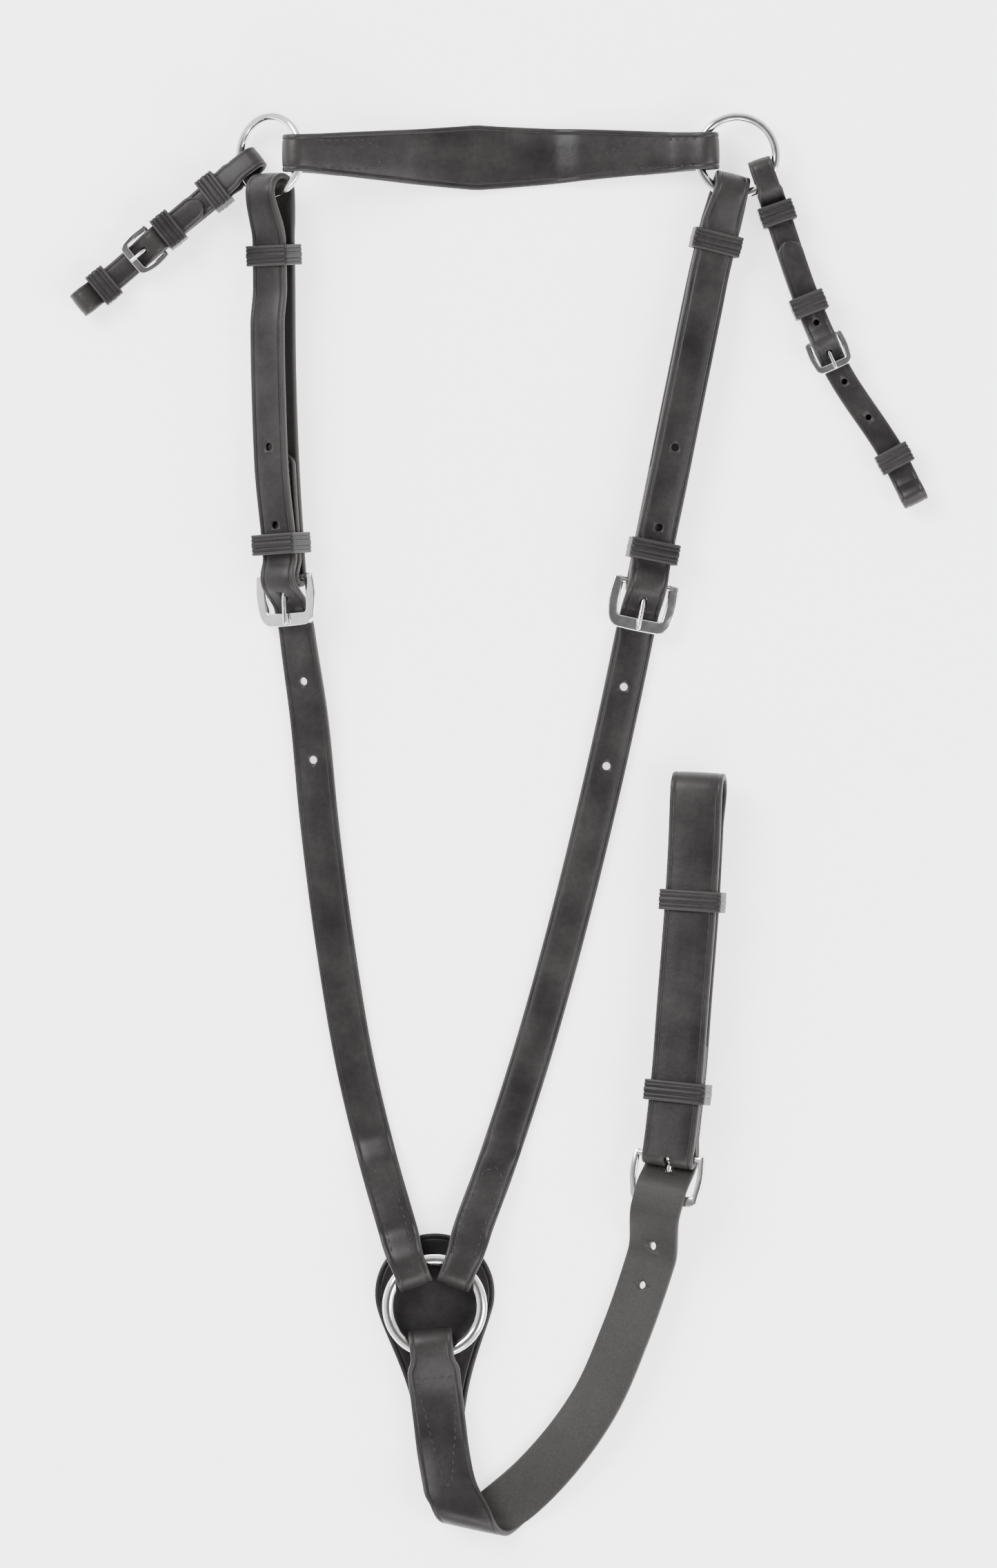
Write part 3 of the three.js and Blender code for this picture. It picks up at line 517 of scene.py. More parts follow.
def buckle_outline(b):
    """The outline of a buckle's U: arms that swell, and a front bar bowed outwards."""
    half, top, bottom = b.width / 2, b.bar, b.bar - b.length
    inner, front, corner, nook = half - b.side, bottom + b.front, b.side * 1.15, 1.1
    quarter = [math.pi / 2 * i / 6 for i in range(7)]
    outer = [(half, top + (bottom + corner - top) * i / 7) for i in range(7)]
    outer += [(half - corner + corner * math.cos(a), bottom + corner - corner * math.sin(a))
              for a in quarter]
    outer += [((half - corner) * (1 - i / 6), bottom) for i in range(1, 7)]
    inside = [((inner - nook) * i / 6, front) for i in range(6)]
    inside += [(inner - nook + nook * math.sin(a), front + nook - nook * math.cos(a)) for a in quarter]
    inside += [(inner, front + nook + (top - front - nook) * i / 6) for i in range(1, 7)]

    def bowed(x, y):
        t = (top - y) / b.length
        swell = 1 + 0.055 * math.sin(math.pi * min(1, t * 1.25)) - 0.035 * smooth(2 * t - 1)
        return x * swell, y - b.front * 0.12 * (1 - (x / half) ** 2) * smooth((t - 0.6) / 0.4)

    right = [bowed(x, y) for x, y in outer]
    right_inside = [bowed(x, y) for x, y in inside]
    left, left_inside = ([(-x, y) for x, y in side] for side in (right, right_inside))
    return left + right[-2::-1] + right_inside[::-1] + left_inside[1:]


def build_buckle(name, b, matrix, material):
    """A cast buckle: a rounded plate with a round pivot bar across its arms."""
    bm = bmesh.new()
    bm.faces.new([bm.verts.new((x, y, -b.thick / 2)) for x, y in buckle_outline(b)])
    made = bmesh.ops.extrude_face_region(bm, geom=bm.faces[:])["geom"]
    lifted = [g for g in made if isinstance(g, bmesh.types.BMVert)]
    bmesh.ops.translate(bm, verts=lifted, vec=(0, 0, b.thick))
    bmesh.ops.recalc_face_normals(bm, faces=bm.faces)
    rim = [e for e in bm.edges if e.calc_face_angle(0) > math.radians(60)]
    bmesh.ops.bevel(bm, geom=rim, offset=b.thick * 0.24, offset_type="OFFSET", affect="EDGES",
                    segments=4, profile=0.5, material=-1, clamp_overlap=True)
    bar = bmesh.ops.create_cone(bm, cap_ends=True, segments=28, radius1=b.bar, radius2=b.bar,
                                depth=b.width - b.side)["verts"]
    bmesh.ops.rotate(bm, verts=bar, cent=(0, 0, 0), matrix=Matrix.Rotation(math.pi / 2, 3, "Y"))
    bmesh.ops.transform(bm, matrix=matrix, verts=bm.verts)
    return finish_mesh(bm, name, material, 35)


def build_prong(name, b, matrix, material):
    """A buckle prong: a tapering tongue on an eye that wraps the pivot bar."""
    bm = bmesh.new()
    eye_radius = b.bar + 0.3 + b.prong / 2
    eye = bmesh.ops.create_circle(bm, segments=16, radius=1)["verts"]
    bmesh.ops.scale(bm, verts=eye, vec=(b.prong * 0.98, b.prong / 2, 1))
    bmesh.ops.translate(bm, verts=eye, vec=(0, eye_radius, 0))
    bmesh.ops.spin(bm, geom=bm.verts[:] + bm.edges[:], cent=(0, 0, 0), axis=(1, 0, 0), dvec=(0, 0, 0),
                   angle=math.tau, steps=40, use_merge=True, use_duplicate=False)
    bmesh.ops.remove_doubles(bm, verts=bm.verts, dist=1e-4)
    start, end = prong_line(b)
    run = end - start
    across = Vector((1, 0, 0))
    up = across.cross(run.normalized()) * -1
    rings = []
    shares = [0.0, 0.12, 0.3, 0.5, 0.7, 0.85, 0.95, 1.0, 1.0 + 0.35 * b.prong / run.length,
              1.0 + 0.7 * b.prong / run.length]
    for k, share in enumerate(shares):
        radius = b.prong * (1.0 - 0.2 * min(1.0, share))
        radius *= {8: 0.85, 9: 0.45}.get(k, 1.0)
        bow = 0.25 * math.sin(math.pi * min(1.0, share))
        centre = start + run * share + up * bow
        rings.append([centre + across * radius * math.cos(a) + up * radius * 0.92 * math.sin(a)
                      for a in (math.tau * i / 16 for i in range(16))])
    sweep(bm, rings)
    bmesh.ops.transform(bm, matrix=matrix, verts=bm.verts)
    return finish_mesh(bm, name, material)


# Stitching.


def walk(route, pitch):
    """Even steps along a polyline of u and v."""
    steps, spare = [], 0.0
    for (u0, v0), (u1, v1) in zip(route, route[1:]):
        length = math.hypot(u1 - u0, v1 - v0)
        reach = spare
        while reach <= length:
            t = reach / length
            steps.append((u0 + (u1 - u0) * t, v0 + (v1 - v0) * t, math.atan2(v1 - v0, u1 - u0)))
            reach += pitch
        spare = reach - length
    return steps


def strap_point(stations, span, u):
    """Where the named stretch of a strap passes u: origin, across, out and along."""
    first, last = span
    run = stations[first:last + 1]
    for a, b in zip(run, run[1:]):
        if min(a.u, b.u) - 1e-6 <= u <= max(a.u, b.u) + 1e-6:
            t = 0.0 if a.u == b.u else (u - a.u) / (b.u - a.u)
            return (a.origin.lerp(b.origin, t), a.across.lerp(b.across, t).normalized(),
                    a.out.lerp(b.out, t).normalized())
    end = min((run[0], run[-1]), key=lambda s: abs(s.u - u))
    return end.origin, end.across, end.out


def add_stitches(bm, stations, span, route, thick, look, grain=True):
    """Sets stitches into a strap's face, each a short slanted bead set a little into the face."""
    for u, v, heading in walk(route, look.stitch_pitch):
        origin, across, out = strap_point(stations, span, u)
        face = -out if grain else out
        ahead = strap_point(stations, span, u + 0.5)[0] - strap_point(stations, span, u - 0.5)[0]
        if ahead.length < 1e-6:
            continue
        ahead.normalize()
        line = (ahead * math.cos(heading) + across * math.sin(heading)).normalized()
        line = (line - face * line.dot(face)).normalized()
        centre = origin + across * v + face * (thick / 2 - look.stitch_sink)
        bead = bmesh.ops.create_uvsphere(bm, u_segments=8, v_segments=6, radius=0.5)["verts"]
        shape = Matrix.Diagonal((look.stitch_length, look.stitch_width, look.stitch_width, 1))
        place = rigid(line, face.cross(line), face, centre)
        bmesh.ops.transform(bm, matrix=place @ shape, verts=bead)


def finish_stitches(bm, name, body, look_material):
    settle(finish_mesh(bm, name, look_material, 80), body, "thread")


# Materials.


def new_material(name):
    material = bpy.data.materials.new(name)
    material.use_nodes = True
    nodes, links = material.node_tree.nodes, material.node_tree.links
    return material, nodes, links, nodes["Principled BSDF"]


def ramp(nodes, *stops):
    node = nodes.new("ShaderNodeValToRGB")
    elements = node.color_ramp.elements
    while len(elements) < len(stops):
        elements.new(0.5)
    for element, (position, value) in zip(elements, stops):
        element.position = position
        element.color = (*value, 1) if isinstance(value, tuple) else (value, value, value, 1)
    return node


def noise(nodes, links, vector, scale, detail=3.0, roughness=0.55, distortion=0.0):
    node = nodes.new("ShaderNodeTexNoise")
    node.inputs["Scale"].default_value = scale
    node.inputs["Detail"].default_value = detail
    node.inputs["Roughness"].default_value = roughness
    node.inputs["Distortion"].default_value = distortion
    links.new(vector, node.inputs["Vector"])
    return node.outputs["Fac"]


def mix(nodes, links, factor, a, b, blend="MIX"):
    node = nodes.new("ShaderNodeMix")
    node.data_type = "RGBA"
    node.blend_type = blend
    for socket, value in ((node.inputs["Factor"], factor), (node.inputs["A"], a), (node.inputs["B"], b)):
        if isinstance(value, bpy.types.NodeSocket):
            links.new(value, socket)
        else:
            socket.default_value = value
    return node.outputs["Result"]


def math_node(nodes, links, operation, a, b=0.0, clamp=False):
    node = nodes.new("ShaderNodeMath")
    node.operation = operation
    node.use_clamp = clamp
    for socket, value in zip(node.inputs, (a, b)):
        if isinstance(value, bpy.types.NodeSocket):
            links.new(value, socket)
        else:
            socket.default_value = value
    return node.outputs[0]


def attribute(nodes, name):
    node = nodes.new("ShaderNodeAttribute")
    node.attribute_name = name
    return node.outputs["Fac"]


def bump(nodes, links, height, strength, distance, normal=None):
    node = nodes.new("ShaderNodeBump")
    node.inputs["Strength"].default_value = strength
    node.inputs["Distance"].default_value = distance
    links.new(height, node.inputs["Height"])
    if normal:
        links.new(normal, node.inputs["Normal"])
    return node.outputs["Normal"]


def leather_material(name, grain_colour, flesh_colour, edge_colour, look, wear=1.0):
    """Dressed leather: pored grain on one face, brushed flesh on the other, burnished edges, with a painted
    sheen that lightens the colour at folds.
    """
    material, nodes, links, shader = new_material(name)
    where = nodes.new("ShaderNodeTexCoord").outputs["Object"]
    grain, edge, bend = (attribute(nodes, n) for n in ("grain", "edge_mm", "bend"))
    cloudy = noise(nodes, links, where, 38, 4, 0.6)
    mottled = noise(nodes, links, where, 420, 3, 0.6)
    cells = nodes.new("ShaderNodeTexVoronoi")
    cells.feature = "DISTANCE_TO_EDGE"
    cells.inputs["Scale"].default_value = 1500
    links.new(where, cells.inputs["Vector"])
    pores = ramp(nodes, (0.0, 0.0), (0.22, 1.0))
    links.new(cells.outputs["Distance"], pores.inputs["Fac"])
    lighter = tuple(min(1, c * 1.75) for c in grain_colour)
    darker = tuple(c * 0.62 for c in grain_colour)
    patches = ramp(nodes, (0.32, darker), (0.5, grain_colour), (0.72, lighter))
    links.new(cloudy, patches.inputs["Fac"])
    speck = ramp(nodes, (0.35, 0.86), (0.65, 1.12))
    links.new(mottled, speck.inputs["Fac"])
    face = mix(nodes, links, 1.0, patches.outputs["Color"], speck.outputs["Color"], "MULTIPLY")
    fibres = noise(nodes, links, where, 900, 2, 0.7, 0.6)
    nap = ramp(nodes, (0.3, tuple(c * 0.8 for c in flesh_colour)),
               (0.7, tuple(c * 1.2 for c in flesh_colour)))
    links.new(fibres, nap.inputs["Fac"])
    body = mix(nodes, links, grain, nap.outputs["Color"], face)
    rub = ramp(nodes, (0.0, 1.0), (0.55, 0.55), (1.0, 0.0))
    links.new(math_node(nodes, links, "DIVIDE", edge, 1.5, True), rub.inputs["Fac"])
    worn = math_node(nodes, links, "MULTIPLY", rub.outputs["Color"],
                     math_node(nodes, links, "MULTIPLY_ADD", cloudy, 0.9 * wear), True)
    body = mix(nodes, links, worn, body, (*edge_colour, 1))
    # Painted sheen: the colour is lightened towards pale grey as sharply as the strap bends, in place of the
    # highlight that a fold catches.
    stretched = math_node(nodes, links, "MULTIPLY", bend, 0.5)
    body = mix(nodes, links, stretched, body, (*[min(1, c * 2.6) for c in grain_colour], 1))
    links.new(body, shader.inputs["Base Color"])
    rough = ramp(nodes, (0.3, look.roughness - 0.07), (0.7, look.roughness + 0.09))
    links.new(cloudy, rough.inputs["Fac"])
    dull = math_node(nodes, links, "MULTIPLY_ADD", grain, -0.16)
    dull.node.inputs[2].default_value = 0.16
    rough_total = math_node(nodes, links, "ADD", rough.outputs["Color"], dull, True)
    links.new(rough_total, shader.inputs["Roughness"])
    shader.inputs["Specular IOR Level"].default_value = look.gloss
    shader.inputs["Coat Weight"].default_value = look.dressing
    shader.inputs["Coat Roughness"].default_value = 0.38
    fine = bump(nodes, links, pores.outputs["Color"], 0.28, 0.00009)
    grainy = bump(nodes, links, mottled, 0.35, 0.00022, fine)
    broad = bump(nodes, links, cloudy, 0.3, 0.0012, grainy)
    links.new(broad, shader.inputs["Normal"])
    return material


def steel_material(name, colour, look):
    """Polished steel with fine hairline scratches and faint cloudy handling marks."""
    material, nodes, links, shader = new_material(name)
    where = nodes.new("ShaderNodeTexCoord").outputs["Object"]
    cloudy = noise(nodes, links, where, 160, 3, 0.6)
    stretched = nodes.new("ShaderNodeMapping")
    stretched.inputs["Scale"].default_value = (1.0, 9.0, 3.0)
    links.new(where, stretched.inputs["Vector"])
    hairs = noise(nodes, links, stretched.outputs["Vector"], 900, 2, 0.7, 0.3)
    tone = ramp(nodes, (0.3, tuple(c * 0.84 for c in colour)), (0.62, colour))
    links.new(cloudy, tone.inputs["Fac"])
    links.new(tone.outputs["Color"], shader.inputs["Base Color"])
    shader.inputs["Metallic"].default_value = 1.0
    rough = ramp(nodes, (0.35, look.polish), (0.75, look.polish + 0.12))
    links.new(cloudy, rough.inputs["Fac"])
    links.new(rough.outputs["Color"], shader.inputs["Roughness"])
    marks = bump(nodes, links, hairs, 0.08, 0.00004)
    waves = bump(nodes, links, cloudy, 0.12, 0.0002, marks)
    links.new(waves, shader.inputs["Normal"])
    return material


def thread_material(name, colour):
    """Waxed thread, twisted along its stitches."""
    material, nodes, links, shader = new_material(name)
    where = nodes.new("ShaderNodeTexCoord").outputs["Object"]
    strands = nodes.new("ShaderNodeTexWave")
    strands.inputs["Scale"].default_value = 900
    strands.inputs["Distortion"].default_value = 2.0
    strands.bands_direction = "DIAGONAL"
    links.new(where, strands.inputs["Vector"])
    fuzz = noise(nodes, links, where, 1600, 2)
    tone = ramp(nodes, (0.2, tuple(c * 0.6 for c in colour)), (0.8, tuple(c * 1.3 for c in colour)))
    links.new(math_node(nodes, links, "MULTIPLY", strands.outputs["Fac"], fuzz), tone.inputs["Fac"])
    links.new(tone.outputs["Color"], shader.inputs["Base Color"])
    shader.inputs["Roughness"].default_value = 0.62
    links.new(bump(nodes, links, strands.outputs["Fac"], 0.4, 0.0001), shader.inputs["Normal"])
    return material


def floor_material(colour):
    material, nodes, links, shader = new_material("studio_floor")
    where = nodes.new("ShaderNodeTexCoord").outputs["Object"]
    faint = noise(nodes, links, where, 3, 2)
    tone = ramp(nodes, (0.3, tuple(c * 0.99 for c in colour)), (0.7, colour))
    links.new(faint, tone.inputs["Fac"])
    links.new(tone.outputs["Color"], shader.inputs["Base Color"])
    shader.inputs["Roughness"].default_value = 0.9
    shader.inputs["Specular IOR Level"].default_value = 0.1
    links.new(tone.outputs["Color"], shader.inputs["Emission Color"])
    shader.inputs["Emission Strength"].default_value = 1.6
    return material


# Settings.


class LeatherLook(bpy.types.PropertyGroup):
    """Sizes and colours of the leather and its stitching."""

    grain_colour: FloatVectorProperty(name="Grain", description="Dyed grain face", subtype="COLOR",
                                      default=(0.0115, 0.0100, 0.0102), min=0, max=1)
    flesh_colour: FloatVectorProperty(name="Flesh", description="Dyed flesh face", subtype="COLOR",
                                      default=(0.021, 0.020, 0.019), min=0, max=1)
    edge_colour: FloatVectorProperty(name="Edge", description="Burnished edge", subtype="COLOR",
                                     default=(0.030, 0.028, 0.027), min=0, max=1)
    thread_colour: FloatVectorProperty(name="Thread", description="Waxed thread", subtype="COLOR",
                                       default=(0.004, 0.0036, 0.0036), min=0, max=1)
    roughness: FloatProperty(name="Roughness", description="Roughness of the grain",
                             default=0.42, min=0, max=1)
    gloss: FloatProperty(name="Gloss", description="Strength of the leather's shine",
                         default=0.2, min=0, max=1)
    dressing: FloatProperty(name="Dressing", description="Wax dressing over the grain",
                            default=0.05, min=0, max=1)
    crease_inset: FloatProperty(name="Crease inset", description="Crease line to edge, in mm",
                                default=2.5, min=0)
    crease_depth: FloatProperty(name="Crease depth", description="Depth of a crease, in mm",
                                default=0.34, min=0)
    crown: FloatProperty(name="Crown", description="Rise of the grain between the creases, in mm",
                         default=0.16)
    edge_round: FloatProperty(name="Edge rounding", description="Rounding of the edges, in mm", default=1.0)
    stitch_pitch: FloatProperty(name="Stitch pitch", description="Stitch to stitch, in mm",
                                default=4.0, min=1)
    stitch_length: FloatProperty(name="Stitch length", description="Length of a stitch, in mm", default=2.6)
    stitch_width: FloatProperty(name="Stitch width", description="Thickness of the thread, in mm",
                                default=1.15)
    stitch_sink: FloatProperty(name="Stitch sink", description="How far a stitch is set in, in mm",
                               default=0.12)


class SteelLook(bpy.types.PropertyGroup):
    """Colours and polish of the rings and buckles."""

    ring_colour: FloatVectorProperty(name="Rings", description="Ring steel", subtype="COLOR",
                                     default=(0.80, 0.80, 0.79), min=0, max=1)
    buckle_colour: FloatVectorProperty(name="Buckles", description="Buckle steel", subtype="COLOR",
                                       default=(0.74, 0.74, 0.735), min=0, max=1)
    polish: FloatProperty(name="Roughness", description="Roughness of polished steel",
                          default=0.07, min=0, max=1)


class StageLook(bpy.types.PropertyGroup):
    """The camera, light and floor."""

    view_width: FloatProperty(name="View width", description="Width of the view at the part", default=0.4817,
                              unit="LENGTH")
    view_height: FloatProperty(name="View height", description="Height of the view at the part",
                               default=0.7573, unit="LENGTH")
    distance: FloatProperty(name="Distance", description="Camera above the part", default=5.0, unit="LENGTH")
    floor_colour: FloatVectorProperty(name="Floor", description="Floor colour", subtype="COLOR",
                                      default=(0.97, 0.97, 0.97), min=0, max=1)
    world_light: FloatProperty(name="Fill light", description="Strength of the light all round",
                               default=1.38)
    key_light: FloatProperty(name="Key light", description="Power of the large soft light, in watts",
                             default=124)


MATERIALS = {}


def materials():
    """Makes the object's materials once, from the scene's settings."""
    if not MATERIALS:
        leather, steel = bpy.context.scene.leather_look, bpy.context.scene.steel_look
        colours = leather.grain_colour, leather.flesh_colour, leather.edge_colour
        grain, flesh, edge = (tuple(colour) for colour in colours)
        keeper_grain, safe_grain = (tuple(c * share for c in grain) for share in (0.9, 0.85))
        MATERIALS["strap"] = leather_material("bridle_leather", grain, flesh, edge, leather)
        MATERIALS["band"] = leather_material("keeper_leather", keeper_grain, flesh, edge, leather, 1.3)
        MATERIALS["safe"] = leather_material("safe_leather", safe_grain, flesh, edge, leather, 0.8)
        MATERIALS["ring"] = steel_material("ring_steel", tuple(steel.ring_colour), steel)
        MATERIALS["buckle"] = steel_material("buckle_steel", tuple(steel.buckle_colour), steel)
        MATERIALS["thread"] = thread_material("waxed_thread", tuple(leather.thread_colour))
    return MATERIALS


# Neck straps.

NECK_LAYS = {
    "left": Sizes(
        points=[(-12.2, 19.1, 0, 0), (-14.8, 26, 0, 0), (-17.3, 35, 0, 0), (-25.7, 64, 0, 0),
                (-38, 114, 0, 0), (-48.2, 174, 0, 0), (-55.8, 234, 0, 4), (-60.4, 284, 0, 14),
                (-66.4, 330, 0, 28), (-70.2, 384, 0, 33), (-73, 450, 0, 33), (-73.4, 504, 1, 34),
                (-73.5, 536.8, 3.3, 38)],
        bar=352, keeper=368.5, runner=29, spacing=3, holes_below=[264, 302], holes_above=[377.5, 415.3],
        seam=[(6, -5.6), (44, -5.4), (48, -3.8), (51, 0.2), (48.5, 3.6), (45, 4.6), (7, 4.6)]),
    "right": Sizes(
        points=[(12.2, 19.1, 0, 0), (14.9, 26, 0, 0), (17.6, 35, 0, 0), (28.2, 64, 0, 0),
                (44.7, 114, 0, 0), (61.7, 174, 0, 0), (76.7, 234, 0, -2), (88, 284, 0, -5),
                (98, 332, 0, -6), (108.4, 384, 0, -6), (121.6, 450, 0, -6), (132.8, 504, 0, -6),
                (141, 537.4, 0, -6)],
        bar=349, keeper=365, runner=24, spacing=3, holes_below=[261, 299.3], holes_above=[376.3, 415],
        seam=[(6, -6.2), (44, -5.8), (48, -3.8), (51, 0.2), (48.5, 3.6), (45, 4.8), (7, 4.8)]),
}


def neck_stations(side):
    """A neck strap's stations, its side view, its lay and the frame of its buckle's pivot bar."""
    at = NECK_LAYS[side]
    lay = Lay(NECK.width + 5.2, at.points)
    b, level, thick = NECK_BUCKLE, levels(NECK, NECK_BUCKLE), NECK.thick
    bar = lay.find(at.bar)
    under = level.bar - b.thick / 2 - 0.6 - thick / 2
    front = level.tongue + thick + GAP + at.spacing
    runner_level = KEEPER.thick + RUNNER_HEIGHT - GAP - thick / 2
    floor = thick / 2
    ring_back = CHEST_RING.height - CHEST_LOOP.half
    reach = buckle_reach(b)
    view = (
        SideView(53, floor)
        .run(44, floor, "tongue_low", 0.8)
        .run(20, ring_back, "tongue_low")
        .run(-CHEST_LOOP.slack, ring_back)
        .turn(CHEST_RING.height + CHEST_LOOP.half, -1)
        .run(4, CHEST_RING.height + CHEST_LOOP.half, "front_low")
        .run(20, ring_back + thick + GAP, "front_low")
        .run(44, floor + thick + GAP, "front_low")
        .run(53.5, floor + thick + GAP, "front_low")
        .run(66, floor, "front_low")
        .run(bar - reach - b.front, floor)
        .run(bar - reach + b.front / 2 + 1.1, under)
        .run(bar - 1.2, level.over)
        .run(bar + 1, level.over)
        .run(bar + 10, level.tongue + thick + GAP + 0.2)
        .run(bar + TURN_BACK - 4, front)
        .run(lay.length - at.runner - 34, front)
        .run(lay.length - at.runner - 16, runner_level)
        .run(lay.length - at.runner + 6, runner_level)
        .run(lay.length + TOP_LOOP.slack, TOP_LOOP.level + TOP_LOOP.half)
        .turn(TOP_LOOP.level - TOP_LOOP.half, 1, 24)
        .run(lay.length - at.runner + 6, level.back)
        .run(bar, level.back, "back")
        .turn(level.fold, -1)
        .run(bar + 9, level.tongue)
        .run(bar + TURN_BACK - 9, level.tongue, "tongue_high")
        .run(bar + TURN_BACK, level.tongue, "tongue_high", 0.6)
    )
    low_end, high_start = view.spans["tongue_low"][1], view.spans["tongue_high"][0]
    tip_low, tip_high = pointed(9, 53), pointed(7, bar + TURN_BACK)

    def width_at(u, i):
        if i < low_end and u > 40:
            return NECK.width * tip_low(u) * 0.94
        if i > high_start:
            return NECK.width * tip_high(u)
        near_loop = max(14 - u, u - lay.length + 14) / 14
        return NECK.width * (1 - 0.115 * min(1, max(0, near_loop)))

    stations = lay_stations(lay, view.stations, width_at)
    return stations, view, lay, lay.frame(bar, level.bar), level, bar, front


def build_neck_strap(side, look):
    """One neck strap, doubled back through its buckle."""
    at = NECK_LAYS[side]
    stations, view, lay, bar_frame, level, bar, front = neck_stations(side)
    strap = build_strap(f"neck_strap_{side}_leather", stations, NECK.thick, look, materials()["strap"])
    tools = bmesh.new()
    slot_tool(tools, NECK_BUCKLE, bar_frame, level.fold_half)
    for y in at.holes_below:
        hole_tool(tools, lay.frame(lay.find(y), NECK.thick / 2), HOLE_RADIUS, NECK.thick)
    for y in at.holes_above:
        hole_tool(tools, lay.frame(lay.find(y), front), HOLE_RADIUS, NECK.thick)
    cut(strap, tools, prong_tool(NECK_BUCKLE, bar_frame))
    settle(strap, "neck", "strap_leather", f"neck_strap_{side}")
    seams = bmesh.new()
    add_stitches(seams, stations, view.spans["front_low"], at.seam, NECK.thick, look)
    add_stitches(seams, stations, view.spans["tongue_low"], at.seam, NECK.thick, look)
    start, end = bar + 15, bar + TURN_BACK - 5
    high = [(start, -7), (end, -7), (end + 2, 0), (end, 7), (start, 7)]
    add_stitches(seams, stations, view.spans["tongue_high"], high, NECK.thick, look)
    add_stitches(seams, stations, view.spans["back"], high, NECK.thick, look)
    finish_stitches(seams, f"neck_stitching_{side}", "neck", materials()["thread"])


def build_neck_fittings(side, look):
    """The buckle, prong, keeper and runner of one neck strap."""
    at = NECK_LAYS[side]
    *_, lay, bar_frame, _, _, _ = neck_stations(side)
    metal = materials()["buckle"]
    name = f"neck_buckle_{side}"
    cast = build_buckle(f"{name}_cast", NECK_BUCKLE, bar_frame, metal)
    settle(cast, name, "buckle_steel", f"{name}_frame")
    prong = build_prong(f"{name}_tongue", NECK_BUCKLE, bar_frame, metal)
    settle(prong, f"neck_prong_{side}", "buckle_steel", f"{name}_prong")
    inner = NECK.width + 1.2
    leather = materials()["band"]
    keeper = build_band(f"neck_keeper_{side}_loop", inner, KEEPER_HEIGHT, KEEPER.thick,
                        lay.frame(lay.find(at.keeper), KEEPER.thick), look, leather)
    settle(keeper, "neck", "keeper_leather", f"neck_keeper_{side}")
    runner = build_band(f"neck_runner_{side}_loop", inner, RUNNER_HEIGHT, KEEPER.thick,
                        lay.frame(lay.length - at.runner, KEEPER.thick), look, leather)
    settle(runner, f"neck_runner_{side}", "keeper_leather", f"neck_runner_{side}")


# Wither strap.


def wither_stations():
    level, half, thick = 7.4, 5.5, WITHER.thick
    left_x = LEFT_RING.x + UPPER_RING.radius * math.cos(LEFT_RING_TILT)
    left_wire = LEFT_RING.z + UPPER_RING.radius * math.sin(LEFT_RING_TILT)
    right_x = RIGHT_RING.x - UPPER_RING.radius
    lay = Lay(0, [
        (left_x, 555.8, left_wire - level, 0),
        (left_x + 8, 555.8, left_wire - level - 0.3, 0),
        (left_x + 45, 555.4, 9, 0),
        (left_x + 80, 555.2, 1.7, 0),
        (left_x + 96, 555.3, 0.15, 0),
        (left_x + 112, 555.6, 0, 0),
        (right_x - 45, 556.8, 0, 0),
        (right_x, 557.9, RIGHT_RING.z - level, 0),
    ])
    floor, tongue, end = thick / 2, 40, lay.length
    view = (
        SideView(tongue, floor)
        .run(tongue - 12, floor, "tongue_left", 0.8)
        .run(12, floor, "tongue_left")
        .run(-1.9, level - half, "tongue_left")
        .turn(level + half, -1)
        .run(14, floor + thick + GAP, "front_left")
        .run(tongue + 0.5, floor + thick + GAP, "front_left")
        .run(tongue + 14, floor, "front_left")
        .run(end - 70, floor)
        .run(end - 56, floor + thick + GAP, "front_right")
        .run(end - 14, floor + thick + GAP, "front_right")
        .run(end + 3.4, level + half, "front_right")
        .turn(level - half, 1)
        .run(end - 12, floor, "tongue_right")
        .run(end - 38, floor, "tongue_right")
        .run(end - 54, floor, "tongue_right", 0.8)
    )
    middle_u = WITHER.middle_x - left_x
    left_end, right_start = view.spans["tongue_left"][1], view.spans["tongue_right"][0]
    tip_left, tip_right = pointed(12, tongue), pointed(16, end - 54)

    def width_at(u, i):
        reach = u / middle_u if u < middle_u else (end - u) / (end - middle_u)
        full = WITHER.end + (WITHER.middle - WITHER.end) * min(1, max(0, reach))
        if i < left_end and u > 20:
            return (WITHER.end - 1) * tip_left(u)
        if i > right_start and u < end - 30:
            return (WITHER.end - 1) * tip_right(u)
        return full

    return lay_stations(lay, view.stations, width_at), view, end


def build_wither_strap(look):
    """The wither strap, turned under at both upper rings."""
    stations, view, end = wither_stations()
    strap = build_strap("wither_strap_leather", stations, WITHER.thick, look, materials()["strap"])
    settle(strap, "neck", "strap_leather", "wither_strap")
    seams = bmesh.new()
    left = [(9, -6.2), (30, -6.9), (36, -4), (39, 0.8), (36, 5.2), (30, 7.2), (9, 6.9)]
    right = [(end - 1, -5.9), (end - 28, -6.4), (end - 38, -3.6), (end - 44.4, 0.2), (end - 38, 4.2),
             (end - 28, 7.2), (end - 1, 6.8), (end - 1, 0), (end - 1, -3)]
    for side, route in (("left", left), ("right", right)):
        add_stitches(seams, stations, view.spans[f"front_{side}"], route, WITHER.thick, look)
        add_stitches(seams, stations, view.spans[f"tongue_{side}"], route, WITHER.thick, look)
    finish_stitches(seams, "wither_stitching", "neck", materials()["thread"])


# Safe.


